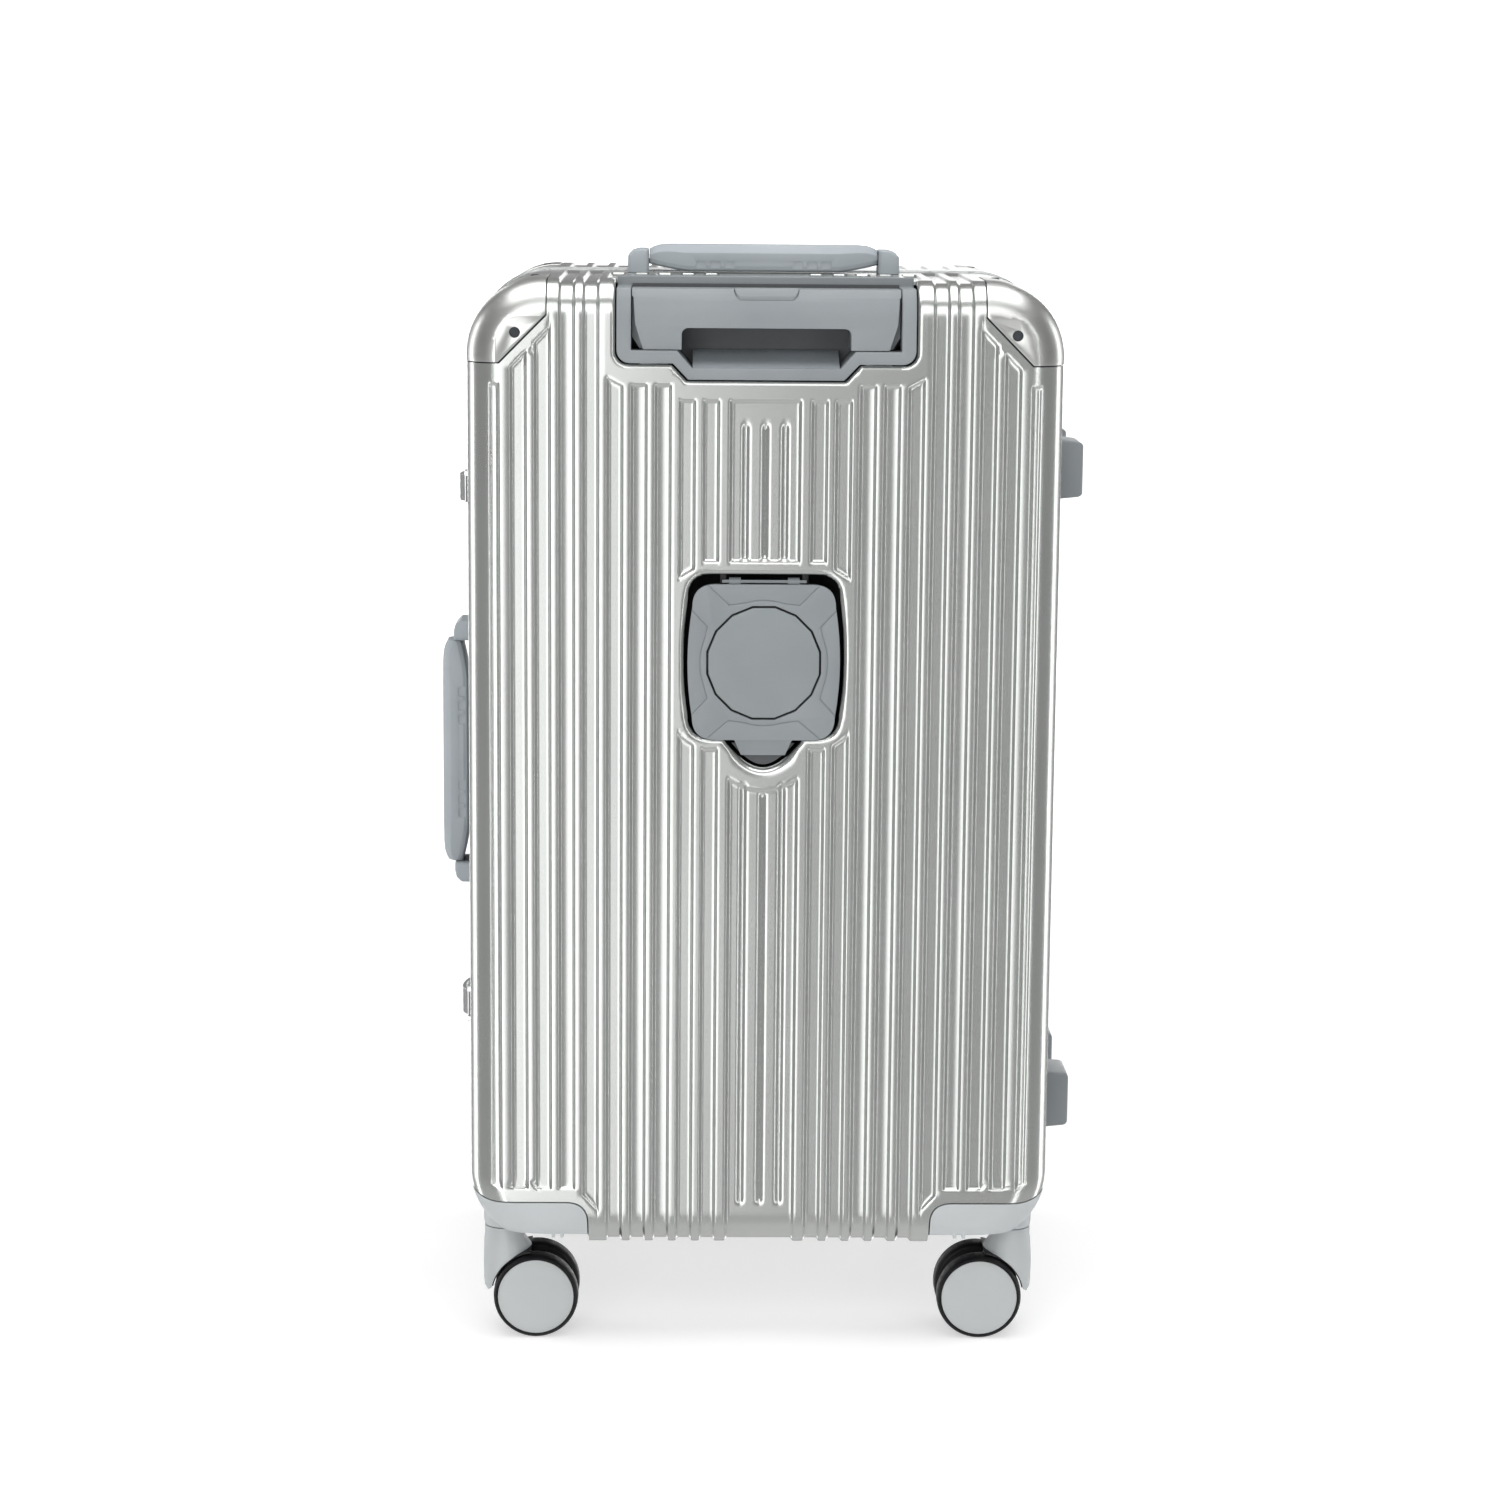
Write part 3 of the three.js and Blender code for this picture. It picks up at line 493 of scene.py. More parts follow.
def beyond(side, near):
    """The span from a distance off the split plane to far outside, on one side of it."""
    return (-FAR, -near) if side < 0 else (near, FAR)


def case_outline(inset, steps):
    return rounded_rect(-HALF_W + inset, HALF_W - inset, BOTTOM + inset, TOP - inset, CORNER_R - inset, steps)


def case_solid(name, inset, steps, edge_steps):
    """The whole closed case drawn in by an inset, with finely rounded corners and edges."""
    r = EDGE_R - inset
    loops = []
    for i in range(edge_steps + 1):
        a = math.pi / 2 * i / edge_steps
        loops.append((inset + r * (1 - math.sin(a)), HALF_D - inset - r * (1 - math.cos(a))))
    rings = [(i, -y) for i, y in loops] + [(i, y) for i, y in reversed(loops)]
    return loft(name, [[(x, y, z) for x, z in case_outline(i, steps)] for i, y in rings])


def mirrored(points):
    return list(points) + [(-a, b) for a, b in reversed(points)]


def bezier(p0, p1, p2, steps=8):
    return [
        (
            (1 - t) ** 2 * p0[0] + 2 * t * (1 - t) * p1[0] + t * t * p2[0],
            (1 - t) ** 2 * p0[1] + 2 * t * (1 - t) * p1[1] + t * t * p2[1],
        )
        for t in (i / steps for i in range(steps + 1))
    ]


def chain(*runs):
    """Runs of points joined into one outline without doubled points."""
    points = []
    for run in runs:
        for p in run:
            if not points or math.dist(points[-1], p) > 1e-3:
                points.append(p)
    if math.dist(points[0], points[-1]) < 1e-3:
        points.pop()
    return points


CUP = {
    "half": 56.5, "end": 53.5, "up": 62.6, "down": 54.4, "r": 17.0,
    "notch": 29.0, "floor": 14.0, "drop": 20.0,
}


def bulging_side(end, half, low, high, r):
    """The right side of a rounded square that is half wide in the middle and narrows to its corners."""
    return [
        bezier((end - r, low), (end, low), (end, low + r)),
        bezier((end, low + r), (2 * half - end, CUP_Z), (end, high - r)),
        bezier((end, high - r), (end, high), (end - r, high)),
    ]


def cup_outline(grow):
    """The mouth of the cup holder, with a notch for the thumb below."""
    high, low = CUP_Z + CUP["up"] + grow, CUP_Z - CUP["down"] - grow
    floor = low - CUP["drop"]
    points = chain(
        bezier((0, floor), (CUP["floor"] + grow, floor), (CUP["notch"] + grow, low), 16),
        *bulging_side(CUP["end"] + grow, CUP["half"] + grow, low, high, CUP["r"]),
    )
    return chain(points, [(-x, z) for x, z in reversed(points)])


def stepped(half, up, step_half, step_up, run, grow, high=FAR, corner=0.0):
    """The trolley bezel's outline: open at the top, deeper in the middle."""
    low, deep = TOP - up - grow, TOP - step_up - grow
    side = half + grow
    if corner:
        turn = arc(side - corner, low + corner, corner, 0, -90, 6)
    else:
        turn = [(side, low)]
    return mirrored([(side, high), *turn, (step_half + run + grow, low), (step_half + grow, deep)])


def bezel_outline(grow):
    return stepped(100.8, 56, 52.5, 66.8, 10.3, grow, corner=9)


def guard_outline(hand, grow):
    """A corner guard's region of the face: two square sides and a slanted one."""
    inner, low = HALF_W - 54.2 - grow, TOP - 56 - grow
    points = [(inner, FAR), (inner, TOP - 23.6 - grow), (HALF_W - 22.1 - grow, low), (FAR, low), (FAR, FAR)]
    return [(hand * x, z) for x, z in points]


def housing_outline(hand, grow):
    """A caster housing's region of the face, with a round upper corner."""
    inner, high, r = HALF_W - 82.3 - grow, BOTTOM + 33.7 + grow, 15 + grow
    points = chain(
        [(inner, -FAR)],
        bezier((inner, high - r), (inner, high), (inner + r, high), 8),
        bezier((HALF_W - 20, high), (HALF_W - 8, high), (HALF_W + 4, high + 9), 8),
        [(FAR, high + 9), (FAR, -FAR)],
    )
    return [(hand * x, z) for x, z in points]


# ---------------------------------------------------------------- distances
def distance_to(outline, x, z):
    """Signed distance of points to a closed outline: negative inside."""
    ring = np.array(outline)
    start, end = ring, np.roll(ring, -1, axis=0)
    best = np.full(x.shape, 1e9)
    inside = np.zeros(x.shape, bool)
    for (ax, az), (bx, bz) in zip(start, end):
        dx, dz = bx - ax, bz - az
        length = dx * dx + dz * dz
        t = np.clip(((x - ax) * dx + (z - az) * dz) / length, 0, 1)
        best = np.minimum(best, (x - ax - t * dx) ** 2 + (z - az - t * dz) ** 2)
        crosses = (az > z) != (bz > z)
        at = ax + (z - az) * dx / (dz if dz else 1e-12)
        inside ^= crosses & (x < at)
    best = np.sqrt(best)
    return np.where(inside, -best, best)


# ---------------------------------------------------------------- the ribbed shells
PITCH, FIRST = 16.27, 36.6  # grooves across the face
FLOOR_HALF, WALL = 3.5, 2.6
DEPTH = 1.9
PANEL_HALF = 22.0
SLANTED = (4, 5, 7, 8)  # the grooves with a slanted end, which need columns on their floors too
NARROW = 9  # the groove on the rounded edge
CUP_BAND = 15.5  # how far from the cup's mouth the middle panel stops
BEZEL_LIP = 2.2
SIDE_GROOVES = range(12, 16)
SLIM_PITCH, SLIM_WALL, SLIM_DEPTH = 13.4, 3.6, 1.5
ROUND = EDGE_R * math.pi / 2  # the rounded edge, rolled out flat
CORE_X, CORE_Z, CORE_R = 150.5, 285.5, 27.0


def unrolled(y):
    """How far past the core's corner a point on the side wall lies at distance y from the face."""
    return CORE_R + ROUND + y - EDGE_R


def groove(p, q, centre, high, low, high_slope=0.0, low_slope=0.0, half=FLOOR_HALF):
    """1 on the groove's floor, 0 outside it, with sloping walls and mitred ends."""
    across = np.abs(p - centre) - half
    above = (q - (high + high_slope * (p - centre))) / math.hypot(1, high_slope)
    below = ((low + low_slope * (p - centre)) - q) / math.hypot(1, low_slope)
    out = np.maximum(np.maximum(across, above), below)
    t = np.clip(1 - out / WALL, 0, 1)
    return t * t * (3 - 2 * t)


def centre_of(k):
    """A groove's distance from the middle of the case."""
    return FIRST + PITCH * k


def floor_half(k):
    """Half the width of a groove's floor."""
    return 1.5 if k == NARROW else FLOOR_HALF


def slim_groove(p, q, centre, high, low):
    """A narrow groove with a sharp floor and round ends."""
    z = np.clip(q, low, high)
    away = np.hypot(p - centre, q - z)
    t = np.clip(1 - away / SLIM_WALL, 0, 1)
    return t * t * (2.2 - 1.2 * t)


# Heights are from the middle of the case, as the unrolled sheet is.
def up(z):
    return z - MID_Z


TOP_END = CORE_Z + unrolled(150)  # on the top wall, 20 mm from the split plane
BOTTOM_END = -TOP_END


def deeper_below(q):
    """The grooves grow deeper where they run round the bottom edge."""
    return 1 + 0.3 * np.clip((-q - CORE_Z - CORE_R - 8) / 14, 0, 1)


# Each run of a groove is its top and bottom, and how both slope across it.
OUTER_RUNS = {
    5: [(TOP_END, up(106.5), 0, 1.1)],
    6: [(TOP_END, up(115.6), 0, 0)],
    7: [(up(705.5), up(115.6), -1.02, 0)],
    8: [(up(689.0), up(115.6), -1.02, 0)],
    NARROW: [(up(673.0), up(117.5), 0, 0.35)],
}
REAR_RUNS = {
    0: [(up(662.6), up(557.0), 0, 0), (up(424.5), BOTTOM_END, 0, 0)],
    1: [(up(662.6), up(549.0), 0, -0.62), (up(430.5), BOTTOM_END, 0.72, 0)],
    2: [(up(673.0), BOTTOM_END, 0, 0)],
    3: [(up(673.0), BOTTOM_END, 0, 0)],
    4: [(up(674.6), BOTTOM_END, 0.55, 0)],
    **OUTER_RUNS,
}
FRONT_RUNS = {**{k: [(TOP_END, BOTTOM_END, 0, 0)] for k in range(5)}, **OUTER_RUNS}


def cut_grooves(p, q, runs_of):
    """How deep the wide grooves are, mirrored left and right, with the short ones of the side walls."""
    depth = np.zeros(p.shape)
    for hand in (-1, 1):
        for k, runs in runs_of.items():
            for high, low, high_slope, low_slope in runs:
                made = groove(
                    p, q, hand * centre_of(k), high, low, hand * high_slope, hand * low_slope, floor_half(k)
                )
                depth = np.maximum(depth, DEPTH * made)
        for k in SIDE_GROOVES:
            depth = np.maximum(depth, DEPTH * groove(p, q, hand * centre_of(k), up(672), up(116)))
    return depth


def rear_depth(p, q):
    """How deep the rear shell's grooves are at points of the unrolled sheet."""
    depth = cut_grooves(p, q, REAR_RUNS)
    for hand in (-1, 1):
        for k in range(5):  # behind the trolley, on the top wall
            made = groove(p, q, hand * centre_of(k), TOP_END - 36, CORE_Z + unrolled(52))
            depth = np.maximum(depth, DEPTH * made)
    panel = groove(p, q, 0, up(662.6), up(557.0), half=PANEL_HALF)
    notch = distance_to(cup_outline(0), p, q + MID_Z) - CUP_BAND
    rounded = np.clip(1 + notch / WALL, 0, 1)
    under = groove(p, q, 0, up(425), BOTTOM_END, half=PANEL_HALF) * rounded * rounded * (3 - 2 * rounded)
    depth = np.maximum(depth, DEPTH * np.maximum(panel, under))
    for i in (-1, 0, 1):
        c = i * SLIM_PITCH
        start = 397.5 + 0.035 * c * c
        depth += SLIM_DEPTH * slim_groove(p, q, c, up(646.5), up(558.5))
        depth += SLIM_DEPTH * slim_groove(p, q, c, up(start - SLIM_WALL), up(105.5))
    return depth * deeper_below(q)


def front_depth(p, q):
    """The front shell's grooves run straight down between its guards and its housings."""
    depth = cut_grooves(p, q, FRONT_RUNS)
    depth = np.maximum(depth, DEPTH * groove(p, q, 0, TOP_END, BOTTOM_END, half=PANEL_HALF))
    for i in (-1, 0, 1):
        depth += SLIM_DEPTH * slim_groove(p, q, i * SLIM_PITCH, up(708), up(105.5))
    return depth * deeper_below(q)


def lip(away, radius):
    """How far a rolled edge has dropped at a distance from the opening."""
    t = np.clip(radius - away, 0, radius)
    return radius - np.sqrt(np.maximum(radius * radius - t * t, 0))


def groove_columns():
    """Columns of the unrolled sheet, close together on every groove wall."""
    marks = set()
    steps = (0.0, 0.45, 0.95, 1.65, 2.15, WALL)
    for k in (*REAR_RUNS, *SIDE_GROOVES):
        c, half = centre_of(k), floor_half(k)
        for t in steps:
            marks.add(round(c - half - t, 3))
            marks.add(round(c + half + t, 3))
        if k in SLANTED:
            marks |= {round(c + t, 3) for t in (-2.1, -0.7, 0.7, 2.1)}
    marks |= {round(PANEL_HALF + t, 3) for t in steps}
    for i in (0, 1):
        for t in (0, 0.35, 0.9, 1.7, 2.6, SLIM_WALL):
            marks.add(round(i * SLIM_PITCH + t, 3))
            marks.add(round(abs(i * SLIM_PITCH - t), 3))
    marks |= {CORE_X, CORE_X + CORE_R} | {1.45 * i for i in range(1, 43)}
    for i in range(1, 9):
        marks.add(CORE_X + CORE_R + ROUND * i / 8)
    marks |= {CORE_X + unrolled(y) for y in (100, 118, 122, 140, 156, HALF_D - RIM)}
    kept = [0.0]
    for m in sorted(marks):
        if m - kept[-1] > 0.38 or m == CORE_X:
            kept.append(m)
    return np.array([-m for m in reversed(kept[1:])] + kept)


def rows_from(bands, fine):
    """Rows from (start, end, spacing) bands of height, with the joins of the sheet always among them.

    The fine bands lie where grooves end beside the guards and the housings.
    """
    marks = set()
    for start, end, spacing in bands:
        count = max(1, round((end - start) / spacing))
        marks |= {up(start) + (end - start) * i / count for i in range(count + 1)}
    marks = {m for m in marks if abs(m) < CORE_Z - 0.4}
    marks |= {-CORE_Z, CORE_Z}
    for sign in (-1, 1):
        base = CORE_Z
        for r in (9, 18, CORE_R):
            marks.add(sign * (base + r))
        for i in range(1, 9):
            marks.add(sign * (base + CORE_R + ROUND * i / 8))
        for y in (60, 90, 108, 113, 114.7, 116.4, 118, 127, 144, 146, 147.7, 149.5, 151.5, 154, HALF_D - RIM):
            marks.add(sign * (base + unrolled(y)))
    for start, end, spacing in fine:
        marks |= {up(z) for z in np.arange(start, end, spacing)}
    rows = np.array(sorted(marks))
    return rows[np.concatenate([[True], np.diff(rows) > 0.3])]


def sheet_points(p, q, inset=0.0):
    """Places and outward normals of unrolled points on the rear side of the case, drawn in by an inset."""
    u, v = np.abs(p) - CORE_X, np.abs(q) - CORE_Z
    r = np.maximum(np.maximum(u, v), 0)
    low = np.minimum(u, v)
    share = np.where(r > 0, np.clip(low, 0, None) / np.maximum(r, 1e-9), 0) * math.pi / 4
    angle = np.where(u >= v, share, math.pi / 2 - share)
    dx = np.where(r > 0, np.cos(angle), 0) * np.sign(p)
    dz = np.where(r > 0, np.sin(angle), 0) * np.sign(q)
    bend = np.clip((r - CORE_R) / EDGE_R, 0, math.pi / 2)
    edge = EDGE_R - inset
    radial = np.minimum(r, CORE_R) + edge * np.sin(bend)
    y = -HALF_D + inset + edge * (1 - np.cos(bend)) + np.clip(r - CORE_R - ROUND, 0, None)
    cx = np.clip(np.abs(p), 0, CORE_X) * np.sign(p)
    cz = np.clip(np.abs(q), 0, CORE_Z) * np.sign(q)
    place = np.stack([cx + dx * radial, y, cz + dz * radial + MID_Z], -1)
    normal = np.stack([dx * np.sin(bend), -np.cos(bend), dz * np.sin(bend)], -1)
    flat_p = cx + np.where(r > 0, np.cos(angle) * r, 0) * np.sign(p)
    flat_q = cz + np.where(r > 0, np.sin(angle) * r, 0) * np.sign(q)
    return place, normal, flat_p, flat_q


def shell_solid(name, depth_of, rows, side, lips):
    """A closed ribbed half shell: the outer skin, and a plain inner face joined to it round the rim."""
    columns = groove_columns()
    p, q = np.meshgrid(columns, rows)
    place, normal, flat_p, flat_q = sheet_points(p, q)
    depth = depth_of(flat_p, flat_q)
    for away_of, radius_of in lips:
        away = away_of(place, flat_p, flat_q)
        depth += lip(away, radius_of(place))
    place = place - normal * depth[..., None]
    height, width = p.shape
    verts = [tuple(v) for v in place.reshape(-1, 3)]
    index = np.arange(height * width).reshape(height, width)
    quads = np.stack([index[:-1, :-1], index[:-1, 1:], index[1:, 1:], index[1:, :-1]], -1).reshape(-1, 4)
    faces = [tuple(f) for f in quads]
    # The border runs once round the rim, and its copies step in and down to the inner face.
    border = list(index[0, :]) + list(index[1:, -1]) + list(index[-1, -2::-1]) + list(index[-2:0:-1, 0])
    bp, bq = p.reshape(-1)[border], q.reshape(-1)[border]
    rim_r = np.maximum(np.abs(bp) - CORE_X, np.abs(bq) - CORE_Z)
    loops = [border]
    for r in [rim_r] + [np.full(rim_r.shape, CORE_R + ROUND * s) for s in (1, 0.75, 0.5, 0.25, 0)]:
        scale = r / rim_r
        u = np.clip(np.abs(bp) - CORE_X, -FAR, None)
        v = np.clip(np.abs(bq) - CORE_Z, -FAR, None)
        new_p = np.where(u > 0, (CORE_X + u * scale), np.abs(bp)) * np.sign(bp)
        new_q = np.where(v > 0, (CORE_Z + v * scale), np.abs(bq)) * np.sign(bq)
        inner, _, _, _ = sheet_points(new_p, new_q, SKIN)
        start = len(verts)
        verts += [tuple(v) for v in inner]
        loops.append(list(range(start, start + len(border))))
    for a, b in zip(loops, loops[1:]):
        n = len(a)
        faces += [(a[k], a[(k + 1) % n], b[(k + 1) % n], b[k]) for k in range(n)]
    faces.append(tuple(loops[-1])[::-1])
    if side > 0:
        verts = [(x, -y, z) for x, y, z in verts]
    made = obj_from(name, verts, faces)
    outward(made)
    return made


def region_tools(side, grow):
    """The guards' and housings' places, grown a little, as solids to cut a shell with."""
    return [
        prism("tool", outline_of(hand, grow), "y", *beyond(side, HALF_D - depth - grow))
        for outline_of, depth in ((guard_outline, GUARD_DEPTH), (housing_outline, HOUSING_DEPTH))
        for _, hand in HANDS
    ]


def build_shells():
    mouth = cup_outline(-1.6)
    bezel = bezel_outline(1.0)

    def mouth_away(place, flat_p, flat_q):
        near = (np.abs(flat_p) < 75) & (np.abs(flat_q + MID_Z - CUP_Z) < 95)
        away = np.full(flat_p.shape, 99.0)
        away[near] = distance_to(mouth, flat_p[near], flat_q[near] + MID_Z)
        return np.maximum(away, 0)

    def mouth_radius(place):
        low = np.clip((CUP_Z - CUP["down"] - 4 - place[..., 2]) / 12, 0, 1)
        return 3.0 + 3.6 * low * low * (3 - 2 * low)

    def bezel_away(place, flat_p, flat_q):
        near = (np.abs(flat_p) < 112) & (place[..., 2] > 665) & (place[..., 1] < -120)
        away = np.full(flat_p.shape, 99.0)
        away[near] = distance_to(bezel, place[..., 0][near], place[..., 2][near])
        return np.maximum(away, 0)

    rear_bands = [
        (125, 392, 22), (392, 434, 1.3), (434, 448, 2.2), (448, 530, 10), (530, 560, 1.6),
        (560, 642, 16), (642, 650, 1.3), (650, 659, 3), (659, 693, 1.25),
    ]
    rear_rows = rows_from(rear_bands, [(98.5, 121.5, 1.35), (693.9, 714, 1.35)])
    front_rows = rows_from([(125, 660, 24), (660, 693, 1.5)], [(98.5, 121.5, 1.5), (694, 716, 1.5)])
    rear_lips = [(mouth_away, mouth_radius), (bezel_away, lambda place: BEZEL_LIP)]
    rear_openings = [
        prism("tool", mouth, "y", -FAR, -HALF_D + EDGE_R),
        prism("tool", bezel, "y", -FAR, -HALF_D + BEZEL_DEPTH + GAP),
    ]
    for half, side, depth_of, rows, lips, openings in (
        ("rear", -1, rear_depth, rear_rows, rear_lips, rear_openings),
        ("front", 1, front_depth, front_rows, [], []),
    ):
        shell = shell_solid(f"{half}_shell_skin", depth_of, rows, side, lips)
        boolean(shell, region_tools(side, SEAM) + openings)
        piece(shell, f"{half}_half", SILVER, [f"{half}_shell"], angle=40)


build_shells()


# ---------------------------------------------------------------- frames
def build_frames():
    """An extruded section run round each half: an outer bead, a slot for the shell and an inner lip."""
    for name, side in HALVES:
        # (inset from the case outline, distance from the split plane)
        section = [
            (-0.9, 0.15), (-1.5, 0.8), (-1.5, 4.4), (-1.1, 5.0), (-1.1, 6.0), (-1.5, 6.6), (-1.5, 12.6),
            (-0.9, 13.6), (-0.2, 13.9), (-0.2, 6.15), (SKIN + 0.3, 6.15), (SKIN + 0.3, 13.9),
            (7.6, 13.9), (8.0, 13.4), (8.0, 0.7), (7.4, 0.15), (4.0, 0.15), (3.4, 0.9), (1.8, 0.9),
            (1.2, 0.15),
        ]
        outlines = [[(x, side * y, z) for x, z in case_outline(i, 14)] for i, y in section]
        ring = loft(f"{name}_frame_bar", outlines, FRAME_METAL, closed=True)
        piece(ring, f"{name}_half", FRAME_METAL, [f"{name}_frame"], angle=28)


build_frames()


# ---------------------------------------------------------------- corner guards
def screw(name, centre, axis, radius, material, sign=1.0):
    """A countersunk cross-head screw whose head faces along the axis."""
    profile = [
        (0, -1.6), (0.3, -0.9), (0.8, -0.5), (radius * 0.55, -0.25), (radius * 0.85, -0.05),
        (radius, -0.35), (radius, -1.2), (radius * 0.5, -2.4), (0, -2.4),
    ]
    return lathe(name, [(r, sign * t) for r, t in profile], 24, axis, centre, material)


def build_guards():
    for half, side in HALVES:
        for hand_name, hand in HANDS:
            name = f"corner_guard_{half}_{hand_name}"
            guard = case_solid(name + "_cap", -PROUD, 24, 12)
            region = prism("tool", guard_outline(hand, 0), "y", *beyond(side, HALF_D - GUARD_DEPTH))
            boolean(guard, [region], "INTERSECT")
            boolean(guard, [case_solid("tool", 2.2 - PROUD, 24, 12)])
            # The flat inner facet is sunk a little, inside an arc that follows the corner.
            inner = HALF_W - 60
            facet = chain(
                [(inner, TOP - 25)],
                arc(HALF_W - 37, TOP - 41.5, 16.5, 90, 0, 12),
                [(HALF_W - 20.5, TOP - 70), (inner, TOP - 70)],
            )
            facet = [(hand * x, z) for x, z in facet]
            boolean(guard, [prism("tool", facet, "y", *beyond(side, HALF_D + PROUD - 1.1))])
            hole_profile = [(0, -7), (3.7, -7), (3.7, 0.1), (4.4, 0.9), (4.4, 6), (0, 6)]
            hole = lathe("tool", hole_profile, 32, "y", (0, 0, 0))
            if side > 0:
                hole.data.transform(Matrix.Scale(-1, 4, Vector((0, 1, 0))))
            else:
                hole.data.transform(Matrix.Rotation(math.pi, 4, "Z"))
            outward(hole)
            moved(hole, hand * SCREW_X, side * (HALF_D - 0.5), SCREW_Z)
            boolean(guard, [hole])
            cleaned(guard, 0.3)
            bevelled(guard, 0.45, 2, 28)
            head_at = (hand * SCREW_X, side * (HALF_D - 4.2), SCREW_Z)
            head = screw("head", head_at, "y", 3.2, DARK_STEEL, side)
            shank_at = (hand * SCREW_X, side * (HALF_D - 5.4), SCREW_Z)
            shank_profile = [(0, 0), (2.4, 0), (2.4, side * -9), (0, side * -9)]
            shank = lathe("shank", shank_profile, 16, "y", shank_at, DARK_STEEL)
            top_at = (hand * 158, side * 108, TOP + PROUD + 0.15)
            on_top = screw("top_screw", top_at, "z", 3.0, DARK_STEEL)
            side_at = (hand * (HALF_W + PROUD + 0.15), side * 108, 700)
            on_side = screw("side_screw", side_at, "x", 3.0, DARK_STEEL, hand)
            coat(guard, GUARD_METAL)
            joined(guard.name, [guard, head, shank, on_top, on_side])
            piece(guard, f"{half}_half", None, [name], angle=30)


build_guards()


# ---------------------------------------------------------------- caster housings
def build_housings():
    for half, side in HALVES:
        for hand_name, hand in HANDS:
            name = f"caster_housing_{half}_{hand_name}"
            housing = case_solid(name + "_body", -PROUD, 24, 12)
            region = prism("tool", housing_outline(hand, 0), "y", *beyond(side, HALF_D - HOUSING_DEPTH))
            boolean(housing, [region], "INTERSECT")
            floor = BOTTOM + 10
            inside = case_solid("tool", 3, 12, 6)
            boolean(inside, [block("tool", ALL, ALL, (floor + 4, FAR))], "INTERSECT")
            boolean(housing, [block("tool", ALL, ALL, (-FAR, floor)), inside])
            centre = (hand * STEM_X, side * STEM_Y, 0)
            boss = [(0, 99), (13.5, 99), (14.6, 92), (14.6, floor + 1), (14, 77.6), (13.2, 77), (0, 77)]
            boolean(housing, [lathe("tool", boss, 40, "z", centre)], "UNION")
            boolean(housing, [lathe("tool", [(0, 70), (6.4, 70), (6.4, 92), (0, 92)], 24, "z", centre)])
            ribs = []
            for at in (36.0, 42.0):
                x = hand * (STEM_X - at)
                depth = sorted((side * (HALF_D - 4), side * (HALF_D - 26)))
                ribs.append(block("tool", (x - 1.2, x + 1.2), depth, (floor - 2.6, floor + 1)))
            boolean(housing, ribs, "UNION")
            cleaned(housing, 0.3)
            bevelled(housing, 0.6, 2, 30)
            piece(housing, f"{half}_half", PALE, [name], angle=30)


build_housings()


# ---------------------------------------------------------------- casters
HUB_Z = WHEEL_R * math.cos(math.pi / 24)
FENDER_HALF = 20.35  # from the caster's middle to the outer face of its fender
FENDER_R = WHEEL_R + 1.8
WHEEL_W = 16.5


def fork_solid(name):
    """A caster's fork with its stem on the Z axis and its wheels trailing towards +X."""
    crown = 2 * WHEEL_R + 16.6
    back = TRAIL - FENDER_R
    # Seen from the side: the round crown under the boss, and a fender that sweeps down behind the wheels.
    side_view = chain(
        [(-14, crown), (14, crown), (14, crown - 7)],
        bezier((14, crown - 7), (12.5, crown - 10.2), (TRAIL - 2, HUB_Z + FENDER_R), 5),
        arc(TRAIL, HUB_Z, FENDER_R, 93, 171, 16),
        [(back - 2.2, HUB_Z + 3.2), (back - 4.6, HUB_Z + 6.5)],
        bezier((back - 5.2, HUB_Z + 12), (-14.4, 62), (-14, crown), 8),
    )
    fork = prism(name, side_view, "y", -FENDER_HALF, FENDER_HALF)
    # The crown is round from above, and widens into the fender below.
    top_ring = arc(0, 0, 14, 0, 360, 48)[:-1]
    wide_ring = arc(2, 0, FENDER_HALF + 0.5, 0, 360, 48)[:-1]
    levels = ((wide_ring, -5), (wide_ring, 47), (wide_ring, 55), (top_ring, 70), (top_ring, 90))
    boolean(fork, [loft("tool", [[(x, y, z) for x, y in ring] for ring, z in levels])], "INTERSECT")
    leg_outline = [
        (-12, 64), (-9, HUB_Z + 15), (TRAIL - 9, HUB_Z - 3), (TRAIL, HUB_Z - 8),
        (TRAIL + 8, HUB_Z), (TRAIL + 5, HUB_Z + 12), (12, 64),
    ]
    stem_profile = [(0, crown - 3), (6, crown - 3), (6, crown + 13.4), (5.4, crown + 14), (0, crown + 14)]
    leg = prism("tool", leg_outline, "y", -6.05, 6.05)
    boolean(fork, [leg, lathe("tool", stem_profile, 24, "z", (0, 0, 0))], "UNION")
    cleaned(fork, 0.3)
    bevelled(fork, 0.5, 2, 32)
    coat(fork, PALE)
    axle_profile = [(0, -20.3), (2.2, -20.3), (3, -19.6), (3, 19.6), (2.2, 20.3), (0, 20.3)]
    axle = lathe("axle", axle_profile, 20, "y", (TRAIL, 0, HUB_Z), STEEL)
    band = chain(
        arc(TRAIL, HUB_Z, FENDER_R - 0.05, 97, 168, 14),
        arc(TRAIL, HUB_Z, FENDER_R - 0.85, 168, 97, 14),
    )
    liner = prism("liner", band, "y", -FENDER_HALF + 1.2, FENDER_HALF - 1.2, BLACK)
    return joined(name, [fork, axle, liner])


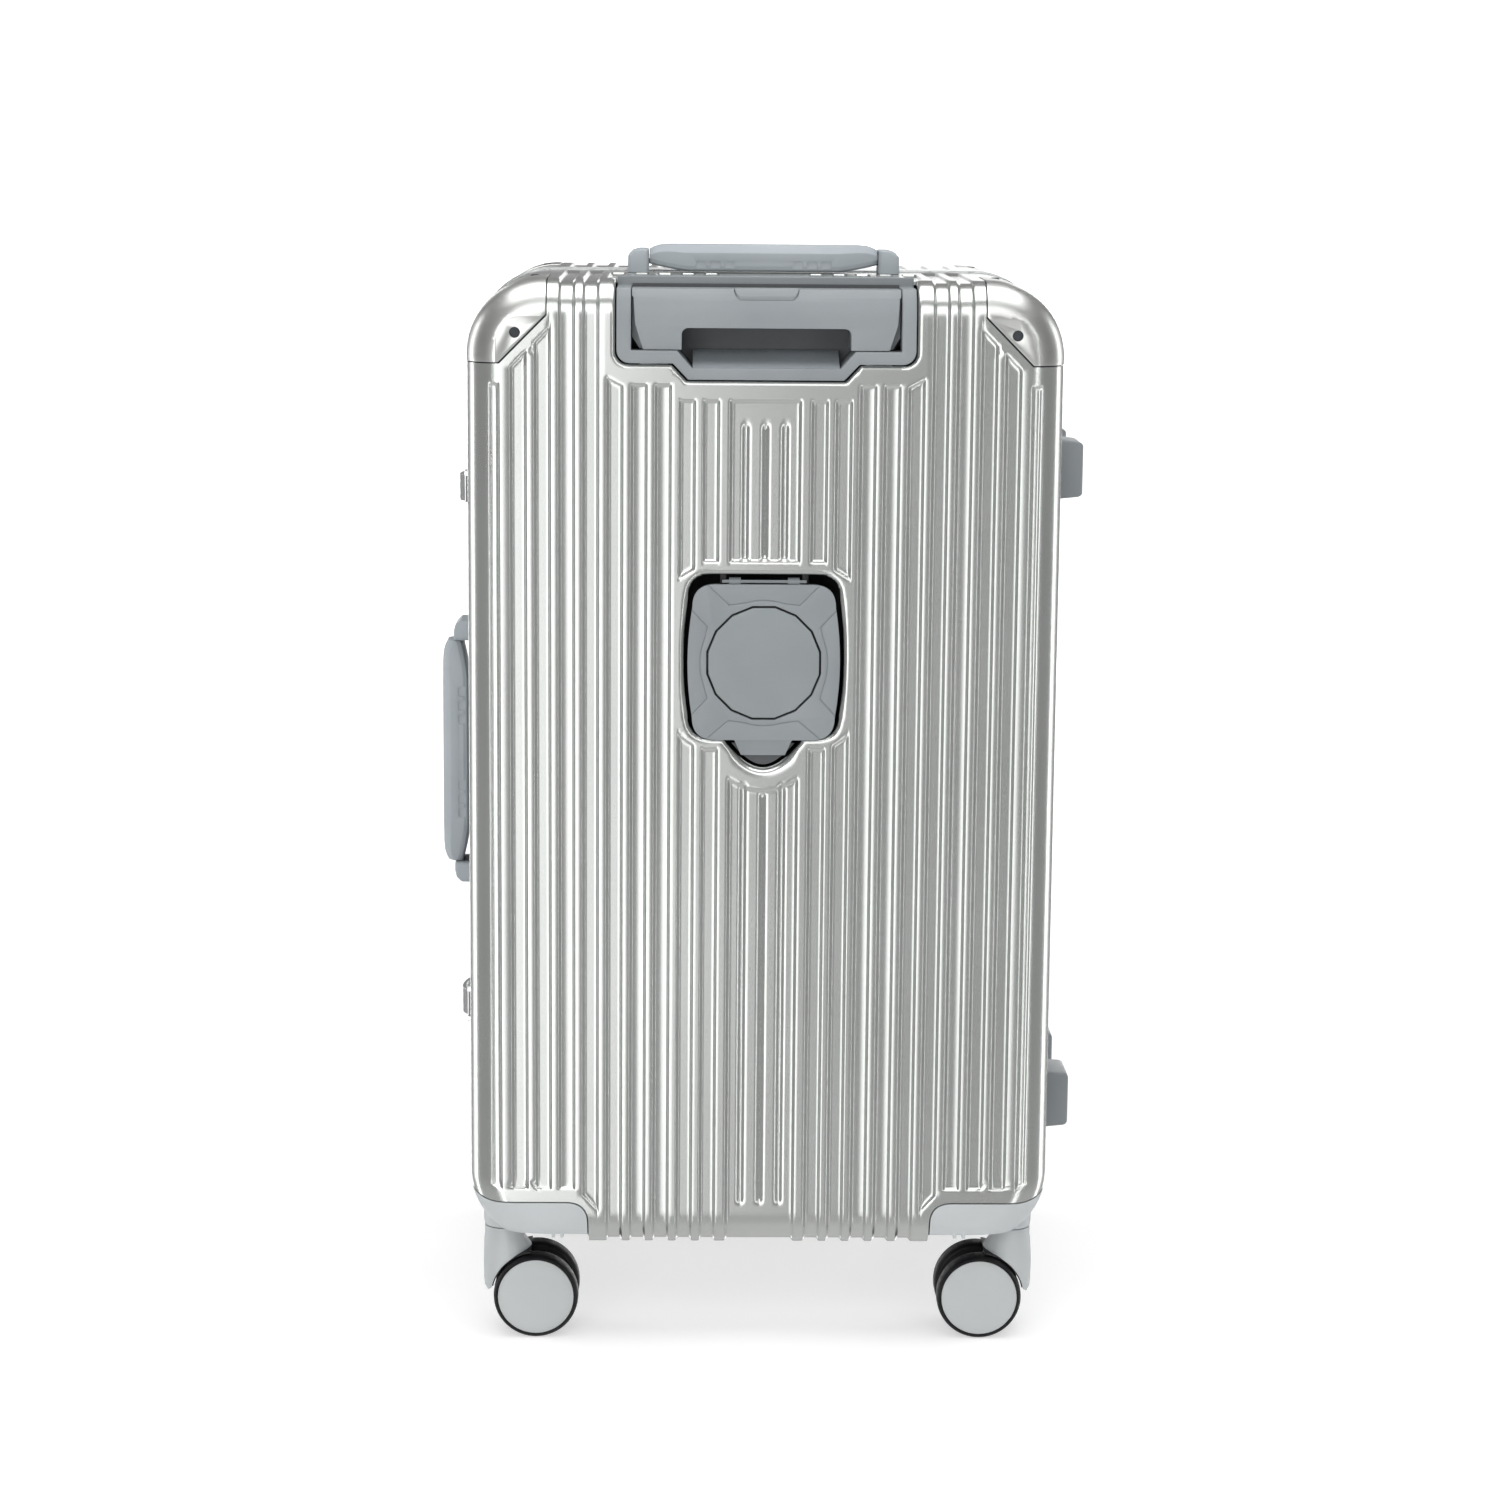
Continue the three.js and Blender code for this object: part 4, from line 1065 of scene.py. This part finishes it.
def wheel_solid(name, sign, centre):
    """A tyre on a spoked core, with a flat cap on the side the sign points to."""
    w = WHEEL_W
    tread = [
        (26.9, w - 1.0), (27.2, w - 0.2), (28.3, w), (29.2, w - 0.9), (29.75, w - 2.6), (30, w - 5.2),
        (30, 5.2), (29.7, 2.8), (29, 1.0), (28, 0.2), (26.9, 0), (26.2, 0.6), (26.2, w - 1.4),
        (26.9, w - 1.0),
    ]
    web = [
        (3.3, 0.5), (9, 0.5), (9.6, 3.2), (24, 3.2), (24.6, 0.5), (26.2, 0.5),
        (26.2, w - 2.4), (3.3, w - 2.4), (3.3, 0.5),
    ]
    cap = [
        (0, w - 2.6), (26.4, w - 2.6), (26.7, w - 2.2), (26.7, w - 0.7), (26.2, w - 0.45), (20, w - 0.2),
        (10, w - 0.08), (0, w - 0.05),
    ]
    parts = [
        lathe(part, [(r, sign * t) for r, t in profile], 72, "y", centre, material)
        for part, profile, material in ((name, tread, TYRE), ("disc", cap, HUBCAP), ("core", web, BLACK))
    ]
    for i in range(5):
        spoke = block("spoke", (8.5, 25), sorted((sign * 0.9, sign * 5)), (-0.9, 0.9), BLACK)
        spoke.data.transform(Matrix.Rotation(2 * math.pi * i / 5, 4, "Y"))
        parts.append(moved(spoke, *centre))
    return joined(name, parts)


def build_casters():
    for half, side in HALVES:
        for hand_name, hand in HANDS:
            corner = f"{half}_{hand_name}"
            x, y = hand * STEM_X, side * STEM_Y
            fork = fork_solid(f"caster_{corner}_fork")
            moved(fork, x, y, 0, math.pi if hand > 0 else 0.0)
            piece(fork, f"caster_{corner}", None, [f"caster_fork_{corner}"], angle=30)
            for place, sign in (("outer", side), ("inner", -side)):
                name = f"wheel_{place}_{corner}"
                wheel = wheel_solid(f"{name}_tyre", sign, (x - hand * TRAIL, y + sign * 7.25, HUB_Z))
                piece(wheel, name, None, [name], angle=40)


build_casters()


# ---------------------------------------------------------------- trolley
def tube_loop(hand, shrink, z):
    """A trolley tube's outline at one height, drawn in from the outer tube's."""
    w, d = 10 - shrink, 7.5 - shrink
    r = max(2.0 - shrink / 2, 0.5)
    x = hand * TUBE_X
    return [(a, b, z) for a, b in rounded_rect(x - w, x + w, TUBE_Y - d, TUBE_Y + d, r, 4)]


def build_trolley():
    step, wall = 1.5, 1.2
    pocket_floor = TOP - 47.3
    grip_foot = pocket_floor + 2 * GAP
    base = BOTTOM + 9 + 16.7
    for hand_name, hand in HANDS:
        for i, (stage, body, low, high) in enumerate((
            ("outer", "rear_half", base + GAP, TOP - 56 - GAP),
            ("mid", "trolley_mid_stage", base + 5, pocket_floor - GAP),
            ("inner", "trolley_top_stage", base + 10, grip_foot + 18 - GAP),
        )):
            outer = [(low, 0.3), (low + 0.4, 0), (high - 0.4, 0), (high, 0.3)]
            loops = [tube_loop(hand, i * step + s, z) for z, s in outer]
            loops += [tube_loop(hand, i * step + wall, z) for z in (high, low)]
            tube = loft(f"trolley_{stage}_tube_{hand_name}_drawn", loops, TUBE_METAL, closed=True)
            bore = [(0, -9), (2.1, -9), (2.1, 9), (0, 9)]
            heights = (low + 20, high - 30 - 20 * i)
            boolean(tube, [lathe("tool", bore, 20, "y", (hand * TUBE_X, TUBE_Y - 7, z)) for z in heights])
            piece(tube, body, TUBE_METAL, [f"trolley_{stage}_tube_{hand_name}"], angle=30)

    # The fixed bezel: a frame with a moulded step, round a deep pocket.
    bezel = case_solid("trolley_bezel_tray", -0.8, 20, 12)
    boolean(bezel, [prism("tool", bezel_outline(0), "y", -FAR, -HALF_D + BEZEL_DEPTH)], "INTERSECT")
    pocket = prism("tool", stepped(91, 47.3, 50, 58.7, 10, 0), "y", -FAR, -HALF_D + 40)
    above = block("tool", ALL, (-FAR, -HALF_D + 40), (TOP - 5.6, FAR))
    holes = [loft("tool", [tube_loop(hand, 1.2, z) for z in (BOTTOM, TOP)]) for _, hand in HANDS]
    boolean(bezel, [pocket, above, *holes])
    cleaned(bezel, 0.25)
    bevelled(bezel, 0.8, 3, 32)
    coat(bezel, GREY)
    # The pocket's back sheet is dark grey: painted shade deep in the recess.
    back_outline = stepped(90.6, 46.9, 49.6, 58.3, 10, 0, high=TOP - 4)
    pocket_back = prism("pocket_back", back_outline, "y", -HALF_D + 37.2, -HALF_D + 39.6, PAINTED_SHADE_GREY)
    # The pocket's floor slopes up and back below the finger recess. It takes the lighter handle grey: painted
    # light on a floor that sits in shade.
    slope = [(0.3, -58.9), (38, -58.9), (38, -49), (34, -48.2)]
    sill = prism("sill", [(-HALF_D + y, TOP + z) for y, z in slope], "x", -49.5, 49.5, HANDLE_GREY)
    joined(bezel.name, [bezel, pocket_back, sill])
    piece(bezel, "rear_half", None, ["trolley_bezel"], angle=30)

    # The grip: rounded over its upper edge, with a finger recess below and a slanted cheek at each side.
    grip = case_solid("trolley_grip_moulded", GAP, 20, 14)
    half = 90.4
    recess_corner = arc(57 - 4.5, TOP - 32.2 - 4.5, 4.5, 0, 90, 6)
    outline = mirrored([
        (half, FAR), (half, grip_foot + 8), (half - 5, grip_foot), (57, grip_foot), *recess_corner,
    ])
    boolean(grip, [prism("tool", outline, "y", -FAR, -HALF_D + 36)], "INTERSECT")
    socket_ends = (BOTTOM, grip_foot + 18)
    sockets = [loft("tool", [tube_loop(hand, 3.0 - GAP, z) for z in socket_ends]) for _, hand in HANDS]
    button = rounded_rect(-21.9, 21.9, -HALF_D + 3.1, -HALF_D + 13.0, 4.9, 8)
    well = prism("tool", button, "z", TOP - 18, FAR)
    # Cheeks fall back towards the pocket's walls, leaving a sloping shadow at each end.
    cheeks = []
    for _, hand in HANDS:
        foot = grip_foot - 1
        wedge = [(92, TOP - 10), (89.4, TOP - 12), (88.2, TOP - 30), (82.5, foot), (92, foot)]
        cheeks.append(prism("tool", [(hand * a, b) for a, b in wedge], "y", -FAR, -HALF_D + 11))
    groove_line = block("tool", ALL, (-FAR, -HALF_D + 0.75), (TOP - 19.9, TOP - 19.3))
    above = block("tool", ALL, ALL, (TOP - 6.4, FAR))
    boolean(grip, [*sockets, well, *cheeks, groove_line, above])
    cleaned(grip, 0.25)
    bevelled(grip, 0.8, 3, 32)
    piece(grip, "trolley_top_stage", GREY, ["trolley_grip"], angle=30)

    cap = case_solid("trolley_button_cap", -0.6, 16, 14)
    key = rounded_rect(-21.4, 21.4, -HALF_D + 3.6, -HALF_D + 12.5, 4.4, 8)
    boolean(cap, [prism("tool", key, "z", TOP - 14.2, TOP - 5.8)], "INTERSECT")
    cleaned(cap, 0.25)
    bevelled(cap, 0.5, 2, 35)
    piece(cap, "trolley_button", DISC_GREY, ["trolley_button"], angle=30)

    bracket = from_cad("trolley_foot_bracket", "trolley_foot_moulding", 1.2, 3)
    piece(bracket, "rear_half", BLACK, ["trolley_foot_bracket"])


build_trolley()


# ---------------------------------------------------------------- cup holder
def flap_outline():
    """The door with its thumb tab: sides that bulge a little, and round corners."""
    low, high = CUP_Z - 53.3, CUP_Z + 53.8
    points = chain([(0, low - 10.5), (15, low - 10.5), (19.8, low)], *bulging_side(48.9, 52, low, high, 16.0))
    return chain(points, [(-x, z) for x, z in reversed(points)])


def engraved_lines(y):
    """Thin channels that mark four panels round the disc."""
    def ring(r, start, end):
        angles = [math.radians(a) for a in range(start, end + 1, 5)]
        return [(r * math.cos(a), CUP_Z + r * math.sin(a)) for a in angles]

    tools = []
    for base, far in ((90, (30, 52.8)), (270, (32, 52.4)), (0, (46.6, 37)), (180, (46.6, 37))):
        curve = ring(43.6 if base in (0, 180) else 43.2, base - 28, base + 28)
        if base in (0, 180):
            sign = 1 if base == 0 else -1
            line = [(sign * 50.2, CUP_Z - far[1]), (sign * 38.4, CUP_Z - 24.6)]
            line += curve[2:-2] if base == 0 else curve[2:-2][::-1]
            line += [(sign * 38.4, CUP_Z + 24.6), (sign * 50.2, CUP_Z + far[1])]
        else:
            sign = 1 if base == 90 else -1
            line = [(-far[0] - 8, CUP_Z + sign * 53.4), (-24.0, CUP_Z + sign * 39.8)]
            line += curve[2:-2][::-1] if base == 90 else curve[2:-2]
            line += [(24.0, CUP_Z + sign * 39.8), (far[0] + 8, CUP_Z + sign * 53.4)]
        tools.append(channel(line, y, 0.42, 0.6))
    return tools


def channel(line, y, half, depth):
    """A thin closed ribbon along a line on the face, to cut a channel with."""
    left, right = [], []
    for i, (x, z) in enumerate(line):
        ax, az = line[max(i - 1, 0)]
        bx, bz = line[min(i + 1, len(line) - 1)]
        length = math.hypot(bx - ax, bz - az)
        nx, nz = -(bz - az) / length, (bx - ax) / length
        left.append((x + nx * half, z + nz * half))
        right.append((x - nx * half, z - nz * half))
    return prism("tool", left + right[::-1], "y", y - 5, y + depth)


def sixteen_sided(name, profile, material=None):
    """A profile turned round the cup's axis in sixteen flats, one of them on top."""
    made = lathe(name, profile, 16, "y", (0, 0, 0), material)
    made.data.transform(Matrix.Rotation(math.pi / 16, 4, "Y"))
    return moved(made, 0, 0, CUP_Z)


def build_cup():
    face = -HALF_D + 0.6
    back = face + 4.8
    pin_y, pin_z = -HALF_D + 6, CUP_Z + 55
    tray = from_cad("cup_tray", "cup_tray_dish", 0.0)
    # The ears that hold the hinge pin are cut back, so that the open flap clears them.
    depth, height = (-FAR, face + 4.5), (CUP_Z + 45, CUP_Z + 62)
    boolean(tray, [block("tool", (hand * 25, hand * 31), depth, height) for _, hand in HANDS])
    cleaned(tray, 0.3)
    bevelled(tray, 0.4, 2)
    # The dish is coated black: painted shade for the deep shadow inside it.
    coat(tray, BLACK)
    # A scoop for the thumb closes the mouth's notch behind the flap's tab. Its dark grey is painted shade in
    # the notch.
    scoop = prism("scoop", cup_outline(-3.4), "y", face + 5.4, face + 7.4)
    boolean(scoop, [block("tool", (-40, 40), (-FAR, 0), (-FAR, CUP_Z - 56))], "INTERSECT")
    coat(scoop, PAINTED_SHADE_GREY)
    joined(tray.name, [tray, scoop])
    piece(tray, "rear_half", None, ["cup_tray"])

    flap = prism("cup_flap_door", flap_outline(), "y", face, back)
    ring = sixteen_sided("tool", [(0, face - 2), (40.0, face - 2), (40.0, back + 2), (0, back + 2)])
    depth, height = (face + 2.6, back + 5), (pin_z - 5, FAR)
    notches = [block("tool", span, depth, height) for span in ((25.4, 30.6), (-30.6, -25.4))]
    boolean(flap, [ring, *notches, *engraved_lines(face)])
    # A step sets the thumb tab back from the door's face.
    boolean(flap, [block("tool", (-24, 24), (face - 3, face + 1.0), (CUP_Z - 53.6, CUP_Z - 70))])
    cleaned(flap, 0.25)
    bevelled(flap, 0.35, 2, 32)
    extras = []
    for _, hand in HANDS:
        x = hand * 20
        sleeve = [(2.0, -4), (3.2, -4), (3.2, 4), (2.0, 4), (2.0, -4)]
        rod = [(0, back - 0.5), (2, back - 0.5), (2, back + 38.4), (1.4, back + 39), (0, back + 39)]
        extras += [
            lathe("knuckle", sleeve, 24, "x", (x, pin_y, pin_z), GREY),
            block("web", (x - 4, x + 4), (pin_y - 1.6, pin_y - 0.2), (CUP_Z + 50, pin_z - 1), GREY),
            lathe("post", rod, 20, "y", (hand * 44, 0, CUP_Z), STEEL),
        ]
    depth, height = (pin_y - 2.6, pin_y - 1.7), (pin_z - 0.3, pin_z + 1.6)
    extras.append(block("hinge_bar", (-28.7, 28.7), depth, height, GREY))
    # A black ring behind the gap round the disc: painted shade that darkens the gap.
    shade_ring = [(38.9, -1.5), (40.2, -1.5), (40.2, -0.2), (38.9, -0.2), (38.9, -1.5)]
    extras.append(sixteen_sided("shade_ring", [(r, back + y) for r, y in shade_ring], BLACK))
    coat(flap, GREY)
    joined(flap.name, [flap, *extras])
    piece(flap, "cup_flap", None, ["cup_flap"], angle=30)

    under = back + GAP
    plate_profile = [(0, face), (38.1, face), (38.5, face + 0.4), (38.5, under + 1), (0, under + 1)]
    plate = sixteen_sided("cup_disc_plate", plate_profile)
    boolean(plate, [block("tool", (-48, 48), (under, under + 4), (CUP_Z - 5.5, CUP_Z + 5.5))], "UNION")
    bore = [(0, -9), (2.3, -9), (2.3, 9), (0, 9)]
    boolean(plate, [lathe("tool", bore, 20, "y", (hand * 44, back + 2, CUP_Z)) for _, hand in HANDS])
    cleaned(plate, 0.25)
    bevelled(plate, 0.25, 2, 35)
    piece(plate, "cup_disc", DISC_GREY, ["cup_disc"], angle=30)


build_cup()


# ---------------------------------------------------------------- carry handles
def handle_grip(name):
    """Drawn with x along the handle and z out from the case: chamfered edges, and finger ribs below."""
    half_w = 17.0
    # (distance from the middle, underside, top)
    end = [
        (80.2, 6.0, 16.4), (77, 5.2, 18.0), (73, 4.3, 19.2),
        (66, 2.9, 19.7), (61, 2.0, 19.7), (53, 1.0, 19.7),
    ]
    stations = [(-x, low, top) for x, low, top in end] + end[::-1]
    loops = []
    for x, low, top in stations:
        narrow = 1 - 0.28 * max(0, (abs(x) - 53) / 27.2)
        w = half_w * narrow
        shoulder = top - 5.2 * narrow
        profile = [
            (-w + 5.5, top), (-w + 0.8, shoulder + 0.4), (-w, shoulder - 0.6), (-w, low + 4.0),
            (-w + 1.2, low + 1.4), (-w + 4.5, low), (w - 4.5, low), (w - 1.2, low + 1.4),
            (w, low + 4.0), (w, shoulder - 0.6), (w - 0.8, shoulder + 0.4), (w - 5.5, top),
        ]
        loops.append([(x, y, z) for y, z in profile])
    grip = loft(name, loops)
    ribs = []
    for x in (-44, -34, -24, 24, 34, 44):
        for sign in (-1, 1):
            outline = chain(rounded_rect(x - 3.6, x + 3.6, 2.4, 8.6, 2.2, 5))
            depth = sorted((sign * (half_w - 0.7), sign * (half_w + 3)))
            ribs.append(prism("tool", outline, "y", *depth))
    boolean(grip, ribs)
    cleaned(grip, 0.3)
    bevelled(grip, 0.6, 2, 20)
    tongues = [
        block("tongue", (hand * 79, hand * 91), (-9.6, 9.6), (6.2, 9.3), DARK_STEEL) for _, hand in HANDS
    ]
    coat(grip, HANDLE_GREY)
    return joined(name, [grip, *tongues])


def handle_post(name, hand):
    """One end of a handle, drawn as the grip is: it leans in at its outer end and holds the grip's tongue."""
    loops = []
    for z, inset, lean in ((GAP, 0, 0), (12.0, 0.2, 0), (15.4, 0.8, 2.2), (16.6, 2.2, 4.2)):
        x0, x1 = 80.7 + inset * 0.2, 95.5 - inset * 1.5 - lean
        loops.append([(a, b, z) for a, b in rounded_rect(x0, x1, -18 + inset, 18 - inset, 3.2, 6)])
    post = loft(name, [[(hand * a, b, c) for a, b, c in loop] for loop in loops])
    boolean(post, [block("tool", (hand * 79, hand * 91.5), (-10, 10), (5.7, 14.8))])
    cleaned(post, 0.3)
    bevelled(post, 0.5, 2, 28)
    return post


def build_handles():
    to_left = Matrix.Rotation(-math.pi / 2, 4, "Y")
    onto_side = Matrix.Translation(Vector((-HALF_W, HANDLE_Y, SIDE_HANDLE_Z)) * MM) @ to_left
    onto_top = Matrix.Translation(Vector((0, HANDLE_Y, TOP)) * MM)
    for handle, ends, place, drawn in (
        ("top_handle", ("left", "right"), onto_top, 0.0),
        ("side_handle", ("lower", "upper"), onto_side, 5.0),
    ):
        for end, hand in zip(ends, (-1, 1)):
            node = f"{handle}_post_{end}"
            post = handle_post(node + "_moulded", hand)
            post.data.transform(place)
            piece(post, "rear_half", HANDLE_GREY, [node], angle=30)
        grip = handle_grip(f"{handle}_grip_moulded")
        grip.data.transform(place @ Matrix.Translation((0, 0, drawn * MM)))
        piece(grip, handle, None, [f"{handle}_grip"], angle=30)


build_handles()


# ---------------------------------------------------------------- latches, hinge, feet
def build_hardware():
    for level, z in (("upper", 590.0), ("lower", 211.5)):
        base = from_cad(f"latch_base_{level}", f"latch_base_{level}_plate", 0.5, 2)
        rivets = [screw("rivet", (-HALF_W - 3.0, HANDLE_Y, z + dz), "x", 2.0, STEEL, -1) for dz in (-9, 9)]
        coat(base, STEEL)
        joined(base.name, [base, *rivets])
        piece(base, "rear_half", None, [f"latch_base_{level}"])
        lever = from_cad(f"latch_lever_{level}", f"latch_lever_{level}_arm", 0.5, 2)
        piece(lever, f"latch_lever_{level}", STEEL, [f"latch_lever_{level}"], angle=24)
        catch = from_cad(f"latch_catch_{level}", f"latch_catch_{level}_plate", 0.5, 2)
        piece(catch, "front_half", STEEL, [f"latch_catch_{level}"])
    for half, side in HALVES:
        node = f"hinge_leaf_{half}"
        leaf = from_cad(node, node + "_rolled", 0.3, 2)
        coat(leaf, STEEL)
        heights = np.linspace(262, 553, 8)
        rivets = [screw("rivet", (HALF_W + 4.2, side * 9.5, z), "x", 2.0, STEEL, 1) for z in heights]
        joined(leaf.name, [leaf, *rivets])
        piece(leaf, f"{half}_half", None, [node], angle=30)
    pin_profile = [(0, 250), (1.1, 250), (1.5, 250.6), (1.5, 564.4), (1.1, 565), (0, 565)]
    pin = lathe("hinge_pin_drawn", pin_profile, 20, "z", (HALF_W + 5.9, 0, 0))
    piece(pin, frame["nodes"]["hinge_pin"]["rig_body"], STEEL, ["hinge_pin"])
    for half, side in HALVES:
        for level in ("upper", "lower"):
            foot = from_cad(f"side_foot_{half}_{level}", f"side_foot_{half}_{level}_moulded", 2.2, 4)
            piece(foot, f"{half}_half", GREY, [f"side_foot_{half}_{level}"], angle=40)


build_hardware()


# ---------------------------------------------------------------- inside
def build_inside():
    for node, body, material in (
        ("rear_lining", "rear_half", LINING),
        ("front_lining", "front_half", LINING),
        ("packing_straps", "rear_half", WEBBING),
        ("zip_pocket", "front_half", POCKET),
    ):
        made = from_cad(node, node + "_sewn", 0.8, 2)
        piece(made, body, material, [node])
    for half, side in HALVES:
        # A quilted sheet of cloth over the inside of the shell, with a bound edge under the frame.
        rings = []
        for inset, edge in ((SKIN + 0.15, 14.3), (SKIN + 1.7, 14.3)):
            r = EDGE_R - inset
            loops = [(inset, edge)]
            for i in range(9):
                a = math.pi / 2 * i / 8
                loops.append((inset + r * (1 - math.cos(a)), HALF_D - EDGE_R + r * math.sin(a)))
            rings.append([[(x, side * y, z) for x, z in case_outline(i, 10)] for i, y in loops])
        cloth = loft(f"{half}_wall_cloth", rings[0] + rings[1][::-1], QUILT, closed=True)
        face_outline = case_outline(EDGE_R - 0.02, 10)
        depths = [side * (HALF_D - SKIN - under) for under in (0.15, 1.7)]
        face_rings = [[(x, y, z) for x, z in face_outline] for y in depths]
        joined(cloth.name, [cloth, loft("face_cloth", face_rings, QUILT)])
        if side < 0:  # room for the trolley and the cup holder
            boolean(cloth, [block("tool", (-110, 110), (-FAR, -HALF_D + 52), ALL)])
        piece(cloth, f"{half}_half", QUILT, angle=40)
    # The pocket's zip: two rows of teeth on a tape, and a pull.
    tape = block("zip_tape", (-150, 150), (159.2, 160.2), (398, 410), WEBBING)
    starts = np.arange(-146, 146, 3.0)
    teeth = [block("tooth", (x, x + 1.5), (158.4, 159.4), (402.4, 405.6), STEEL) for x in starts]
    slider = block("slider", (118, 128), (156.6, 159.3), (400.5, 407.5), STEEL)
    joined(tape.name, [tape, *teeth, slider])
    piece(tape, "front_half", None, angle=30)


build_inside()


# ---------------------------------------------------------------- floor and light
GLOW_SPAN = (0.9, 3.5)  # metres from the middle over which the paper's glow grows


def stage_material(name, color, near_glow, far_glow):
    """White paper that glows a little, and more with distance, so that it stays white to the horizon."""
    n = Nodes(name)
    length = n.add("ShaderNodeVectorMath", operation="LENGTH")
    n.link(n.place, length.inputs[0])
    glow = n.spread(length.outputs["Value"], near_glow, far_glow, *GLOW_SPAN)
    n.link(glow, n.shader.inputs["Emission Strength"])
    n.shader.inputs["Emission Color"].default_value = (1, 1, 1, 1)
    soft = n.mix_colors(n.spread(n.noise(3, 2), 0, 1), color, tuple(c * 0.995 for c in color))
    return n.finish(soft, None, None, Roughness=0.9, Specular_IOR_Level=0.2)


def build_stage():
    """A white paper floor inside a round white backdrop; neither is mirrored in the metal."""
    far, steps, high = 9000, 96, 9000
    ring = arc(0, 0, far, 0, 360, steps)[:-1]
    floor = obj_from("floor", [(x, y, 0) for x, y in ring], [tuple(range(steps))])
    wall_points = [(x, y, z) for z in (-10, high) for x, y in ring]
    wall_faces = [(i, i + steps, (i + 1) % steps + steps, (i + 1) % steps) for i in range(steps)]
    wall = obj_from("backdrop", wall_points, wall_faces)
    for sheet, near_glow, far_glow in ((floor, 0.52, 1.1), (wall, 1.1, 1.2)):
        paper = stage_material(sheet.name + "_paper", (0.62, 0.62, 0.62), near_glow, far_glow)
        sheet.data.materials.append(paper)
        sheet.visible_glossy = False
        sheet.visible_shadow = False
    wall.visible_diffuse = False


def area_light(name, place, target, width, height, power):
    data = bpy.data.lights.new(name, "AREA")
    data.shape = "RECTANGLE"
    data.size, data.size_y = width, height
    data.energy = power
    light = bpy.data.objects.new(name, data)
    light.location = place
    light.rotation_euler = (Vector(target) - Vector(place)).to_track_quat("-Z", "Y").to_euler()
    bpy.context.scene.collection.objects.link(light)


def build_lights():
    world = bpy.data.worlds.new("studio")
    bpy.context.scene.world = world
    world.use_nodes = True
    tree = world.node_tree
    background = tree.nodes["Background"]
    background.inputs["Color"].default_value = (1, 1, 1, 1)
    split = tree.nodes.new("ShaderNodeSeparateXYZ")
    tree.links.new(tree.nodes.new("ShaderNodeTexCoord").outputs["Generated"], split.inputs["Vector"])
    fade = tree.nodes.new("ShaderNodeMapRange")
    for key, value in (("From Min", -0.9), ("From Max", -0.15), ("To Min", 0.62), ("To Max", 0.25)):
        fade.inputs[key].default_value = value
    tree.links.new(split.outputs["Z"], fade.inputs["Value"])
    tree.links.new(fade.outputs["Result"], background.inputs["Strength"])
    # The tall strips reach below the floor, which the glossy surfaces don't see.
    area_light("strip_left", (-0.98, -2.1, 0.1), (0, -0.1, 0.1), 0.22, 3.4, 9)
    area_light("strip_right", (1.15, -1.9, 0.1), (0, -0.1, 0.1), 0.18, 3.4, 7)
    area_light("fill_panel", (-0.78, -3.1, 0.4), (-0.78, 0, 0.4), 1.3, 3.0, 19)
    area_light("strip_back_left", (-0.95, 2.2, 0.1), (0, 0.1, 0.1), 0.25, 3.4, 10)
    area_light("strip_back_right", (0.85, 2.2, 0.1), (0, 0.1, 0.1), 0.25, 3.4, 10)
    area_light("fill_back", (0.6, 3.2, 0.4), (0.6, 0, 0.4), 1.3, 3.0, 15)
    for side in (-1, 1):
        area_light("strip_side", (side * 2.2, 0.75, 0.1), (side * 0.2, 0, 0.1), 0.35, 3.4, 12)
        area_light("fill_side", (side * 3.0, 1.5, 0.4), (side * 0.2, 0, 0.4), 1.2, 3.0, 11)
    area_light("softbox_front", (0, -2.3, 1.80), (0, -0.17, 0.72), 2.2, 1.0, 14)
    area_light("softbox_top", (0, -0.25, 2.3), (0, 0, 0.4), 2.4, 1.6, 34)


build_stage()
build_lights()
